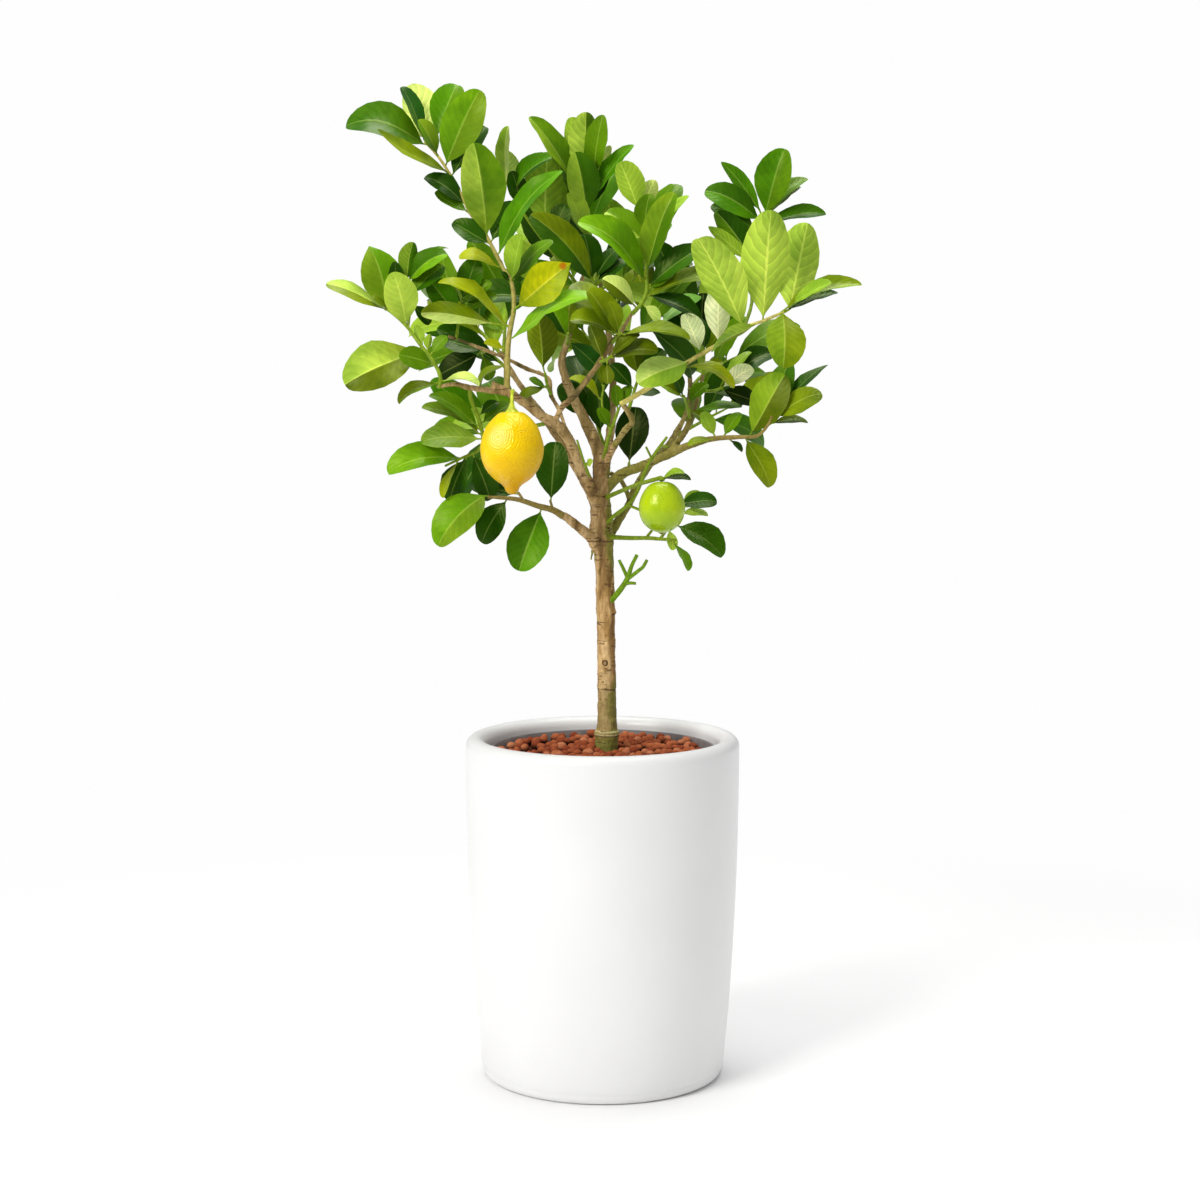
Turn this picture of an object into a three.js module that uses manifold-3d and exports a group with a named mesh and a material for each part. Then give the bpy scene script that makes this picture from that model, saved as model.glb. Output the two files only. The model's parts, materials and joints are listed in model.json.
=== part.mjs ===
// A young lemon tree in a white planter. Millimetres, +Z up, the front faces -Y.
// The origin is the middle of the flat bottom of the planter.
import * as THREE from "three";
import { mergeVertices } from "three/addons/utils/BufferGeometryUtils.js";
import Module from "manifold-3d";

const wasm = await Module();
wasm.setup();

// ---------------------------------------------------------------- driving dimensions

const GAP = 0.3; // between pieces that touch

const PLANTER = {
  height: 345,
  rimCrest: 127.6, // radius of the crest of the rolled rim
  rimTube: 9.8, // radius of the roll itself
  innerWall: 117.5,
  straight: 30, // how far the inner wall goes straight down from the roll
  innerTaper: 9, // and how much narrower it is at the floor
  floor: 12,
  base: 114, // radius of the flat bottom
  corner: 7, // rounding of the bottom edge
  // outer wall from the bottom edge to the rim: radius, height
  wall: [[124.4, 30], [130, 96], [134.6, 182], [137, 280]],
  sides: 32,
};

const LINER = { rim: 113.5, base: 97, top: 333, wall: 2, lip: 3, lipDepth: 9, sides: 30 };

const GRANULES = {
  bed: 318, // height of the filled body under the top layer
  low: 322, // between two granules at the edge of the bed
  high: 329.5, // crown of a granule there
  heap: 4, // how much higher the middle of the bed is
  uneven: 4,
  pitch: 18.5,
  depth: 10, // how far the top layer sinks into the filled body
  seed: 7,
};

const TRUNK = { foot: 262, sides: 9, holeSides: 14, holeMargin: 1.5, thickLimb: 4, limbSides: [6, 4] };

const LEMON = { place: [512, 452, -68], radius: 30.2, length: 79, sides: 16 };
const GREEN_LEMON = { place: [662, 507, -57], radius: 22.2, length: 50, sides: 14 };

const LEAF = {
  seen: 1.06, // drawn width over the width in the front view
  steepest: 0.36, // least share of a blade's width that the front view is taken to show
  rows: [0.2, 0.52, 0.83], // share of the blade's length at each row of points
  fewRows: [0.3, 0.7], // the same for a small or hidden leaf, whose blade starts at its stem
  smallest: 60, // mm, a leaf under this length has few rows
  thickness: 1.5, // at the midrib, down to the edges
  petiole: 0.85, // half width of the leaf stalk at the blade
  root: 0.3, // and inside the stem
  shortStalk: 5,
  stalkAhead: 0.35, // a stalk less in line with its blade than this is redrawn in line with it
  fold: 0.28, // radians that each half rises from the midrib
  widest: 0.68, // of the length
  fullness: 0.62, // 1 gives a sine outline, and less gives a rounder one
};

const STEM_SIDES = 3;

// A leaf that would cross another twig's leaf turns this far to the back or the front at its tip.
const SWINGS = [0, -8, 8, -16, 16, -24, 24, -34, 34, -45, 45];

// ---------------------------------------------------------------- the picture frame

// Twigs and leaves are placed by hand in a front view of 1200 by 1200 units, where one unit is one millimetre in
// the plane of the trunk. u runs to the right and v runs down. y is the depth, which is less towards the viewer.
const VIEW = { distance: 2420, height: 736, aside: -2.6, pitch: THREE.MathUtils.degToRad(6), focal: 2433.3, middle: 600 };
const LAYER = 1.7; // mm of depth for one layer of a route

function at(u, v, y) {
  const right = u - VIEW.middle;
  const up = VIEW.middle - v;
  const ahead = VIEW.focal * Math.cos(VIEW.pitch) + up * Math.sin(VIEW.pitch);
  const rise = -VIEW.focal * Math.sin(VIEW.pitch) + up * Math.cos(VIEW.pitch);
  const t = (y + VIEW.distance) / ahead;
  return new THREE.Vector3(VIEW.aside + t * right, y, VIEW.height + t * rise);
}

const onRoute = ([u, v, layer]) => at(u, v, layer * LAYER);

const EYE = new THREE.Vector3(VIEW.aside, -VIEW.distance, VIEW.height);

// ---------------------------------------------------------------- routes of the wood: u, v, layer, radius

const LIMBS = {
  leader: [[602, 508, 0, 8.5], [600, 470, 2, 7.4], [598, 450, 4, 6.6], [585, 420, 8, 5.5], [572, 395, 12, 4.8],
    [563, 370, 15, 4.2], [562, 358, 16, 3.8], [567, 343, 18, 3.2], [572, 322, 22, 2.8], [578, 300, 28, 2.4],
    [583, 275, 32, 2], [586, 250, 34, 1.7]],
  left: [[601, 508, -2, 7], [590, 488, -8, 6.2], [578, 460, -16, 5.6], [566, 435, -24, 5.4], [556, 424, -28, 5.2],
    [540, 415, -32, 4.8], [525, 403, -36, 4.4], [510, 393, -38, 4.2], [497, 386, -40, 3.4], [492, 382, -41, 2.4]],
  leftTwig: [[507, 392, -38, 3.4], [472, 388, -44, 2.8], [455, 384, -47, 2.5], [437, 387, -50, 2.2]],
  crossing: [[556, 420, -29, 2.6], [562, 407, -32, 2.8], [575, 395, -34, 2.9], [600, 362, -38, 2.8],
    [610, 345, -40, 2.6], [620, 333, -42, 2.4], [633, 312, -44, 2.2]],
  pale: [[566, 431, -25, 2], [560, 412, -17, 2], [551, 395, -14, 2], [548, 378, -13, 2], [525, 368, -14, 1.9],
    [505, 358, -18, 1.8], [470, 344, -26, 1.7], [448, 336, -34, 1.5]],
  right: [[604, 490, 0, 6.4], [622, 474, -4, 5.2], [640, 467, -8, 4.8], [660, 458, -14, 4.5], [685, 447, -20, 3.9],
    [706, 440, -27, 3.1]],
  rightFork: [[666, 456, -16, 3.4], [683, 435, -14, 3.2], [690, 420, -10, 2.8], [697, 400, -6, 2.4], [703, 375, -2, 2]],
  backRight: [[605, 546, 3, 5], [611, 534, 4, 4.4], [618, 521, 7, 4], [628, 506, 12, 3.8], [636, 487, 18, 3.8],
    [652, 462, 28, 3.6],
    [672, 440, 38, 3.2], [688, 408, 46, 2.8], [690, 380, 50, 2.5], [686, 352, 54, 2.2]],
  bud: [[599, 546, -3, 1.6], [593, 551, -5, 1.3], [591, 560, -5, 0.9]],
  backLoop: [[630, 502, 13, 2.6], [626, 490, 10, 2.4], [620, 479, 6, 2.4], [610, 473, 2, 2.6]],
  lowerLeft: [[600, 546, -2, 5.4], [585, 532, -6, 5], [570, 520, -10, 4.4], [562, 515, -12, 3.9]],
  zigzag: [[602, 474, -3, 4.2], [612, 450, -14, 3.4], [625, 430, -22, 3.2], [632, 422, -25, 3.2], [628, 412, -28, 3],
    [622, 403, -31, 2.8]],
  backLeft: [[600, 520, 2, 6], [590, 492, 9, 5], [570, 458, 21, 4.2], [546, 420, 34, 3.6], [520, 385, 45, 3],
    [500, 352, 52, 2.4]],
  backCentre: [[602, 505, 3, 6], [606, 462, 14, 5], [612, 415, 28, 4.2], [612, 360, 41, 3.4], [604, 305, 49, 2.8],
    [596, 260, 53, 2.2]],
};

const TRUNK_ROUTE = [[606, 751, 0, 11.6], [606.5, 742, 0, 11.8], [607, 733, 0, 12.4], [607, 726, 0, 9.9],
  [607, 700, 0, 9.4], [606.5, 663, 0, 9.1], [606, 630, 0, 9.3], [605.5, 598, 0, 9.6], [604.5, 570, 0, 9.3],
  [603.5, 548, 0, 10.2], [602, 535, 0, 11], [601, 515, 0, 10.6], [601, 497, 0, 9.4]];

// ---------------------------------------------------------------- leafy stems
// stems: routes of u, v, layer, radius. The first starts inside the wood that it grows from.
// leaves: u, v where the blade starts; u, v of its tip; depth of the tip past the stem; width seen from the front;
// roll in degrees (0 shows the upper face, 90 lies flat, 180 shows the underside); arch as a share of the length.

const SPRAYS = {
  spray_crown: {
    stems: [[[507, 392, -38, 3.3], [507, 372, -37, 3.1], [508, 345, -34, 2.8], [511, 325, -32, 2.5],
      [514, 308, -30, 2.3], [512, 284, -26, 2.1], [503, 268, -22, 2], [497, 256, -20, 1.9], [482, 228, -16, 1.8],
      [470, 213, -13, 1.7], [460, 192, -10, 1.6], [446, 168, -6, 1.5], [437, 155, -3, 1.4], [425, 142, 0, 1.2]]],
    leaves: [
      [425, 141, 346, 126, -12, 36, 42, 0.22],
      [446, 176, 379, 131, -30, 12, 65, -0.05],
      [430, 138, 406, 87, 34, 48, 155, 0.05],
      [437, 137, 401, 87, 4, 14, 60, 0.05],
      [438, 133, 457, 85, 18, 38, 25, 0.08],
      [446, 166, 480, 90, -16, 40, 12, 0.06],
      [438, 158, 418, 120, -14, 16, 50, 0.05],
      [452, 176, 486, 127, 20, 26, 35, 0.05],
      [488, 238, 474, 143, -25, 46, 12, 0.05],
      [465, 205, 425, 178, 8, 20, 45, 0.1],
      [470, 214, 434, 192, -16, 19, 50, -0.05],
      [489, 246, 453, 223, 12, 36, 25, 0.05],
      [503, 268, 459, 258, -14, 15, 65, 0.16],
      [498, 255, 563, 171, -22, 22, 50, 0.1],
      [490, 243, 517, 203, 12, 26, 30, 0.05],
      [511, 283, 522, 234, -14, 20, 40, 0.06],
      [513, 281, 553, 241, -8, 16, 55, 0.08],
      [512, 284, 501, 272, -4, 12, 40, 0.05],
      [507, 328, 438, 283, -12, 12, 70, 0.12],
      [512, 340, 600, 298, -30, 16, 65, 0.12],
      [507, 350, 484, 343, -10, 14, 50, 0.05],
      [507, 362, 481, 388, -6, 9, 70, 0.2],
      [490, 323, 421, 313, -8, 20, 50, 0.05],
    ],
  },
  yellow_leaf: {
    stems: [[[514, 313, -30, 1.3], [516, 307, -36, 1.2]]],
    leaves: [[514, 307, 571, 263, -20, 43, 20, 0.06]],
  },
  spray_crown_back: {
    stems: [[[581, 290, 30, 2], [562, 264, 26, 1.7], [538, 234, 20, 1.5], [518, 205, 16, 1.3], [508, 186, 14, 1.2]]],
    leaves: [
      [506, 182, 508, 126, -6, 14, 55, 0.05],
      [507, 186, 503, 150, 10, 26, 150, 0.05],
      [512, 192, 552, 158, -10, 16, 60, 0.12],
      [545, 226, 548, 152, 4, 42, 165, 0.04],
      [518, 210, 512, 172, 10, 24, 20, 0.05],
      [550, 250, 566, 205, 6, 26, 25, 0.06],
      [552, 240, 560, 178, 14, 30, 160, 0.05],
    ],
  },
  spray_top: {
    stems: [[[586, 253, 34, 1.8], [588, 226, 34, 1.6], [586, 200, 33, 1.4], [585, 178, 32, 1.2]]],
    leaves: [
      [574, 182, 529, 117, -4, 22, 45, 0.06],
      [577, 168, 571, 117, 12, 28, 160, 0.05],
      [586, 176, 586, 112, -4, 34, 160, 0.05],
      [594, 176, 603, 117, 12, 24, 30, 0.05],
      [598, 172, 611, 146, 10, 12, 150, 0.05],
      [588, 216, 575, 152, -18, 36, 15, 0.06],
      [584, 240, 568, 193, -14, 20, 45, 0.05],
      [592, 196, 634, 145, -6, 16, 50, 0.06],
      [588, 210, 605, 165, 15, 30, 25, 0.06],
    ],
  },
  spray_centre_front: {
    stems: [[[578, 302, 28, 1.9], [588, 290, 12, 1.7], [595, 279, 0, 1.4]]],
    leaves: [
      [594, 277, 530, 215, -22, 32, 30, 0.12],
      [596, 277, 584, 234, 4, 26, 25, 0.05],
      [597, 276, 618, 248, 2, 16, 40, 0.05],
      [599, 279, 628, 262, 6, 24, 50, 0.06],
    ],
  },
  spray_right_centre: {
    stems: [[[632, 314, -44, 2.2], [642, 303, -44, 2], [647, 290, -43, 1.9], [646, 272, -40, 1.7],
      [648, 252, -34, 1.5], [645, 232, -26, 1.4], [640, 210, -20, 1.2]]],
    leaves: [
      [638, 207, 620, 162, -6, 32, 160, 0.05],
      [642, 212, 655, 180, 8, 22, 165, 0.05],
      [649, 234, 650, 194, -16, 36, 20, 0.1],
      [650, 222, 673, 184, 2, 12, 50, 0.05],
      [647, 272, 675, 193, -20, 28, 30, 0.08],
      [650, 240, 689, 196, -6, 12, 60, 0.05],
      [648, 262, 668, 215, 14, 20, 150, 0.05],
      [650, 287, 704, 247, -4, 24, 35, 0.1],
      [646, 281, 578, 222, -34, 28, 45, 0.16],
      [640, 238, 606, 212, 10, 24, 30, 0.06],
      [631, 312, 602, 279, -16, 24, 50, 0.08],
      [647, 297, 728, 280, -12, 16, 60, 0.12],
      [648, 290, 676, 270, 10, 14, 50, 0.05],
      [642, 303, 660, 320, -14, 24, 140, 0.05],
      [652, 296, 700, 320, -6, 18, 50, 0.1],
    ],
  },
  spray_left_tip: {
    stems: [[[439, 388, -50, 2], [440, 375, -50, 1.9], [431, 358, -50, 1.8], [419, 343, -48, 1.6],
      [408, 328, -45, 1.5], [398, 318, -42, 1.4], [388, 310, -40, 1.2]],
    [[408, 328, -45, 1.4], [410, 305, -36, 1.3], [407, 282, -28, 1.1]]],
    leaves: [
      [393, 308, 369, 246, 14, 44, 18, 0.06],
      [398, 316, 396, 262, 22, 18, 30, 0.05],
      [407, 327, 393, 272, -16, 40, 12, 0.05],
      [388, 311, 326, 284, -10, 14, 60, 0.06],
      [392, 312, 373, 296, 4, 10, 60, 0.05],
      [407, 278, 413, 242, 2, 26, 150, 0.05],
      [409, 280, 447, 254, -6, 22, 50, 0.12],
      [412, 290, 448, 248, 12, 12, 40, 0.2],
      [414, 296, 444, 266, 10, 22, 40, 0.05],
      [409, 302, 430, 324, 8, 20, 35, 0.05],
      [416, 351, 345, 385, -26, 54, 25, 0.1],
      [432, 366, 399, 355, -24, 22, 30, 0.06],
      [440, 382, 399, 404, -8, 13, 55, 0.14],
      [445, 381, 479, 386, -10, 9, 60, 0.15],
      [420, 350, 415, 325, 6, 18, 150, 0.05],
      [430, 352, 430, 334, 4, 14, 150, 0.05],
      [432, 354, 447, 336, 2, 16, 30, 0.05],
    ],
  },
  spray_left_inner: {
    stems: [[[456, 340, -31, 1.7], [459, 320, -26, 1.6], [462, 302, -20, 1.4], [456, 286, -14, 1.2]]],
    leaves: [
      [458, 318, 425, 278, -38, 46, 20, 0.06],
      [457, 318, 424, 300, -30, 18, 60, 0.08],
      [462, 301, 477, 258, -8, 28, 20, 0.06],
      [462, 305, 492, 283, -8, 16, 40, 0.05],
      [463, 312, 497, 296, 0, 18, 40, 0.05],
    ],
  },
  spray_left_shade: {
    stems: [[[486, 350, -22, 1.7], [484, 352, -10, 1.4], [480, 353, 0, 1.2]]],
    leaves: [
      [478, 354, 438, 376, 8, 34, 30, 0.05],
      [482, 355, 490, 380, 10, 24, 20, 0.05],
      [484, 350, 440, 340, 14, 26, 40, 0.05],
    ],
  },
  spray_under_centre: {
    stems: [[[551, 395, -14, 1.8], [547, 384, -22, 1.6], [545, 373, -28, 1.3]]],
    leaves: [
      [543, 366, 538, 315, -12, 46, 165, 0.05],
      [545, 386, 519, 402, -6, 12, 55, 0.1],
      [548, 392, 529, 379, -12, 9, 60, 0.05],
    ],
  },
  spray_leader: {
    stems: [[[567, 345, 18, 2], [568, 338, 8, 1.5], [568, 333, 2, 1.3]]],
    leaves: [
      [568, 342, 573, 285, -6, 46, 150, 0.05],
      [570, 340, 600, 372, 6, 34, 40, 0.05],
      [566, 338, 545, 300, 0, 26, 30, 0.05],
    ],
  },
  spray_centre_low: {
    stems: [[[612, 343, -40, 1.9], [617, 338, -50, 1.6], [621, 333, -58, 1.3]]],
    leaves: [
      [619, 334, 570, 321, -16, 16, 60, 0.08],
      [621, 332, 608, 302, -12, 22, 30, 0.06],
      [623, 331, 690, 340, -12, 12, 65, 0.1],
      [618, 336, 588, 290, 4, 26, 40, 0.06],
      [616, 338, 573, 283, 10, 30, 35, 0.06],
    ],
  },
  spray_centre_under: {
    stems: [[[600, 362, -38, 1.9], [606, 360, -48, 1.6], [609, 357, -56, 1.3]]],
    leaves: [
      [603, 358, 590, 325, -8, 20, 150, 0.05],
      [610, 356, 658, 352, -14, 18, 55, 0.1],
      [608, 360, 608, 384, -8, 18, 150, 0.05],
      [609, 354, 640, 335, -6, 20, 50, 0.08],
    ],
  },
  spray_right_long: {
    stems: [[[621, 404, -31, 2.7], [645, 390, -38, 2.5], [680, 367, -46, 2.3], [700, 355, -50, 2.2],
      [720, 343, -52, 2], [742, 328, -54, 1.8], [760, 322, -55, 1.6], [784, 312, -56, 1.4]]],
    leaves: [
      [762, 319, 771, 210, -12, 48, 165, 0.04],
      [790, 309, 809, 222, 16, 46, 160, 0.04],
      [743, 325, 697, 240, -16, 44, 160, 0.05],
      [786, 309, 862, 285, -8, 14, 62, 0.08],
      [790, 309, 838, 293, 8, 10, 55, 0.05],
      [792, 304, 828, 284, 14, 12, 60, 0.04],
      [783, 314, 783, 368, -38, 44, 15, 0.05],
      [757, 323, 712, 352, -16, 12, 110, 0.06],
      [688, 355, 638, 384, -20, 38, 30, 0.08],
      [684, 367, 734, 388, -20, 11, 60, 0.2],
      [716, 341, 720, 283, -12, 26, 170, 0.04],
      [699, 350, 684, 314, -6, 26, 160, 0.05],
      [705, 352, 700, 318, 10, 12, 40, 0.05],
    ],
  },
  spray_right_top: {
    stems: [[[744, 328, -53, 1.8], [752, 302, -40, 1.7], [750, 275, -28, 1.5], [755, 245, -20, 1.4],
      [765, 215, -14, 1.2]]],
    leaves: [
      [766, 212, 785, 149, -8, 38, 15, 0.05],
      [759, 209, 721, 162, 4, 16, 140, 0.05],
      [760, 218, 705, 191, -6, 26, 35, 0.12],
      [757, 232, 711, 206, -12, 20, 45, 0.1],
      [748, 258, 716, 212, -4, 26, 150, 0.05],
      [747, 262, 708, 227, 8, 14, 150, 0.05],
      [769, 212, 808, 179, 6, 14, 50, 0.12],
      [771, 212, 801, 186, -4, 9, 60, 0.05],
      [768, 224, 826, 214, 4, 15, 50, 0.1],
    ],
  },
  spray_right_inner: {
    stems: [[[700, 391, -5, 1.8], [712, 391, -12, 1.6], [722, 388, -20, 1.3]]],
    leaves: [
      [722, 385, 753, 368, -12, 18, 150, 0.05],
      [724, 380, 752, 352, 2, 10, 50, 0.06],
      [726, 378, 775, 353, 14, 22, 40, 0.08],
      [712, 391, 742, 406, -10, 12, 60, 0.2],
      [724, 382, 768, 374, 8, 16, 40, 0.06],
      [722, 389, 757, 403, 12, 26, 35, 0.06],
    ],
  },
  spray_fork_end: {
    stems: [[[703, 378, -2, 1.8], [704, 355, 4, 1.5], [703, 338, 8, 1.2]]],
    leaves: [
      [703, 336, 704, 293, 4, 24, 20, 0.05],
      [704, 350, 690, 318, 10, 26, 30, 0.05],
      [704, 356, 722, 330, 12, 22, 30, 0.05],
      [704, 372, 723, 362, 4, 16, 30, 0.05],
    ],
  },
  spray_right_low: {
    stems: [[[705, 440, -27, 2.9], [720, 438, -32, 2.5], [740, 437, -38, 2.1], [757, 436, -44, 1.8],
      [768, 425, -48, 1.5], [772, 416, -50, 1.2]]],
    leaves: [
      [749, 432, 785, 375, -10, 36, 25, 0.06],
      [771, 417, 822, 394, -6, 22, 40, 0.1],
      [772, 414, 829, 365, 10, 12, 50, 0.05],
      [766, 424, 790, 362, 14, 26, 30, 0.05],
      [771, 424, 808, 423, 2, 9, 60, 0.06],
      [745, 440, 770, 487, -6, 26, 25, 0.1],
      [716, 439, 688, 446, -8, 12, 60, 0.06],
      [728, 438, 742, 452, 4, 12, 50, 0.05],
      [722, 436, 741, 413, 6, 24, 40, 0.06],
      [716, 436, 702, 412, 4, 16, 30, 0.05],
    ],
  },
  spray_fork: {
    stems: [[[690, 419, -10, 1.8], [687, 406, -18, 1.6], [684, 396, -26, 1.3]]],
    leaves: [
      [682, 397, 660, 384, -8, 20, 40, 0.08],
      [688, 408, 712, 428, -6, 16, 40, 0.08],
      [690, 414, 742, 407, -4, 8, 65, 0.06],
      [686, 394, 672, 372, 2, 20, 35, 0.05],
      [688, 404, 708, 384, 4, 22, 35, 0.05],
    ],
  },
  spray_lower_right: {
    stems: [[[608, 537, -3, 2.6], [630, 538, -13, 2.2], [648, 538, -22, 2], [660, 539, -28, 1.8],
      [676, 540, -32, 1.4]],
    [[646, 538, -21, 1.5], [653, 529, -20, 1.3]],
    [[660, 539, -28, 1.6], [672, 522, -22, 1.3], [680, 506, -16, 1.1]]],
    leaves: [
      [680, 527, 722, 557, -16, 34, 35, 0.14],
      [676, 540, 688, 571, -10, 10, 60, 0.06],
      [670, 527, 673, 551, -16, 11, 30, 0.05],
      [681, 504, 717, 502, 0, 18, 45, 0.06],
      [680, 508, 702, 494, 6, 14, 150, 0.05],
      [677, 513, 708, 516, -2, 10, 60, 0.05],
    ],
  },
  green_lemon_stalk: {
    stems: [[[605, 498, -2, 2.6], [614, 494, -14, 2.3], [636, 485, -38, 2.1], [653, 480, -52, 2.1],
      [661, 478, -56, 2.3], [662, 480.5, -57, 2.8]]],
    leaves: [
      [660, 478, 691, 480, 4, 11, 60, 0.06],
      [658, 477, 684, 474, -6, 8, 60, 0.1],
    ],
  },
  thorny_twig: {
    stems: [[[605, 524, -3, 2.4], [614, 516, -9, 2.1], [628, 505, -17, 2], [636, 494, -21, 1.9],
      [642, 480, -25, 1.8], [648, 465, -28, 1.7], [656, 452, -31, 1.6], [667, 437, -34, 1.3]],
    [[628, 505, -17, 1.5], [640, 510, -22, 1.4]],
    [[652, 459, -29, 1.2], [646, 447, -32, 1]],
    [[661, 445, -32, 1.2], [668, 447, -36, 1]]],
    leaves: [],
  },
  spray_behind_lemon: {
    stems: [[[470, 388, -44, 2.3], [471, 400, -38, 2.2], [479, 420, -30, 2], [483, 438, -26, 1.8],
      [479, 450, -26, 1.6], [464, 457, -30, 1.4], [445, 466, -36, 1.1]]],
    leaves: [
      [484, 430, 429, 396, -12, 18, 45, 0.1],
      [481, 426, 421, 408, -20, 15, 50, 0.08],
      [484, 435, 455, 419, -16, 9, 60, 0.1],
      [481, 438, 421, 442, -14, 27, 45, 0.08],
      [462, 453, 388, 473, -16, 28, 40, 0.14],
      [459, 461, 443, 498, -12, 8, 60, 0.05],
      [468, 457, 450, 502, 6, 34, 20, 0.05],
      [478, 416, 498, 402, 8, 24, 25, 0.05],
      [480, 424, 510, 404, 14, 20, 30, 0.05],
      [474, 456, 490, 500, 10, 30, 25, 0.05],
    ],
  },
  spray_lower_left: {
    stems: [[[563, 516, -12, 3.7], [553, 510, -14, 3.2], [538, 506, -18, 2.8], [520, 500, -24, 2.3],
      [505, 498, -28, 2], [488, 497, -32, 1.5]],
    [[553, 510, -14, 1.4], [550, 500, -14, 1.2]],
    [[525, 503, -22, 1.6], [518, 492, -20, 1.3]]],
    leaves: [
      [484, 496, 438, 546, -22, 46, 32, 0.16],
      [507, 502, 482, 543, 4, 28, 20, 0.06],
      [518, 491, 470, 484, 10, 24, 30, 0.05],
      [540, 513, 519, 571, -22, 43, 10, 0.06],
      [550, 498, 556, 442, 6, 36, 15, 0.05],
    ],
  },
  spray_under_right: {
    stems: [[[629, 470, -6, 1.8], [629, 463, 4, 1.4]]],
    leaves: [[630, 462, 636, 407, 10, 46, 15, 0.05]],
  },
  spray_centre_twig: {
    stems: [[[604, 458, -5, 2.1], [608, 440, -10, 1.9], [613, 425, -14, 1.7], [619, 408, -18, 1.5]],
      [[611, 432, -12, 1.4], [602, 405, -14, 1.3], [604, 385, -16, 1.1]]],
    leaves: [
      [618, 408, 615, 385, -4, 20, 20, 0.05],
      [620, 407, 630, 386, 2, 14, 40, 0.05],
      [610, 430, 598, 408, 4, 14, 30, 0.05],
      [604, 386, 596, 362, 4, 16, 40, 0.05],
      [602, 400, 569, 379, -4, 10, 60, 0.15],
    ],
  },
  spray_shade_left: {
    stems: [[[607, 452, 17, 1.9], [598, 428, 20, 1.6], [591, 402, 22, 1.3]]],
    leaves: [
      [596, 436, 598, 388, 4, 26, 20, 0.05],
      [594, 420, 560, 384, 6, 28, 25, 0.05],
      [591, 402, 604, 358, 6, 30, 25, 0.05],
      [590, 400, 572, 356, 8, 30, 25, 0.05],
    ],
  },
  spray_shade_right: {
    stems: [[[628, 412, -27, 2], [634, 392, -20, 1.6], [640, 373, -15, 1.3]]],
    leaves: [
      [640, 374, 628, 335, 6, 30, 25, 0.05],
      [638, 380, 664, 350, 8, 30, 30, 0.05],
      [635, 390, 611, 364, 10, 28, 30, 0.05],
      [634, 394, 660, 392, 10, 20, 50, 0.05],
    ],
  },
  twig_buds: {
    stems: [[[591, 481, -9, 1.5], [585, 465, -20, 1.3], [577, 440, -25, 1.1]],
      [[585, 465, -20, 1], [591, 459, -22, 0.9]]],
    leaves: [[586, 466, 593, 460, -6, 9, 30, 0.05]],
  },
  sprout: {
    stems: [[[611, 601, -3, 3.4], [617, 594, -6, 3.4], [625, 583, -10, 3], [629, 574, -12, 2.6],
      [632, 565, -13, 2.2], [637, 555, -14, 2.2]],
    [[628, 579, -11, 2.2], [638, 571, -14, 2.1], [643, 567, -15, 2], [647, 560, -16, 2]],
    [[628, 579, -11, 2.1], [623, 568, -11, 1.9], [619, 560, -11, 1.8]],
    [[625, 584, -10, 2.1], [630, 583, -12, 1.9], [636, 583.5, -13, 1.6]]],
    leaves: [],
  },
};

// Sprays at the back and inside the crown are grown by rule: a route, how many leaves, and the seed of their draws.
const GROWN = {
  spray_back_01: [[[501, 354, 52, 2.2], [484, 335, 59, 1.8], [468, 320, 65, 1.4], [458, 312, 68, 1.1]], 5, 11],
  spray_back_02: [[[519, 383, 45, 2.2], [500, 362, 55, 1.8], [480, 346, 63, 1.4], [464, 340, 67, 1.1]], 5, 12],
  spray_back_03: [[[548, 423, 33, 2.2], [524, 428, 42, 1.8], [498, 432, 49, 1.4], [482, 434, 52, 1.1]], 5, 13],
  spray_back_04: [[[503, 357, 51, 1.8], [506, 320, 64, 1.6], [512, 290, 73, 1.2]], 5, 14],
  spray_back_05: [[[596, 262, 53, 2], [590, 238, 57, 1.7], [582, 220, 60, 1.4], [576, 210, 61, 1.1]], 5, 15],
  spray_back_06: [[[604, 307, 49, 2], [580, 290, 63, 1.7], [560, 270, 72, 1.4], [550, 258, 77, 1.1]], 5, 16],
  spray_back_07: [[[605, 313, 48, 2], [626, 290, 60, 1.7], [640, 268, 68, 1.4], [645, 254, 72, 1.1]], 5, 17],
  spray_back_08: [[[612, 365, 40, 2.2], [598, 350, 58, 1.8], [588, 338, 72, 1.5], [582, 330, 80, 1.1]], 5, 18],
  spray_back_09: [[[687, 354, 53, 2], [696, 335, 60, 1.7], [700, 318, 64, 1.4], [702, 310, 66, 1.1]], 5, 19],
  spray_back_10: [[[689, 390, 48, 2.2], [704, 374, 57, 1.8], [722, 364, 64, 1.4], [734, 358, 68, 1.1]], 5, 20],
  spray_back_11: [[[675, 436, 39, 2.2], [694, 426, 47, 1.8], [712, 416, 54, 1.4], [724, 410, 57, 1.1]], 5, 21],
  spray_back_12: [[[612, 350, 43, 1.9], [630, 338, 54, 1.6], [648, 326, 63, 1.3], [656, 320, 67, 1.1]], 5, 22],
  spray_inner_1: [[[572, 324, 21, 1.8], [556, 308, 24, 1.5], [540, 290, 26, 1.2]], 4, 31],
  spray_inner_2: [[[578, 301, 27, 1.8], [600, 290, 34, 1.5], [622, 278, 38, 1.2]], 4, 32],
  spray_inner_3: [[[618, 337, -41, 1.6], [640, 330, -28, 1.4], [662, 325, -18, 1.2]], 4, 34],
};

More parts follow.
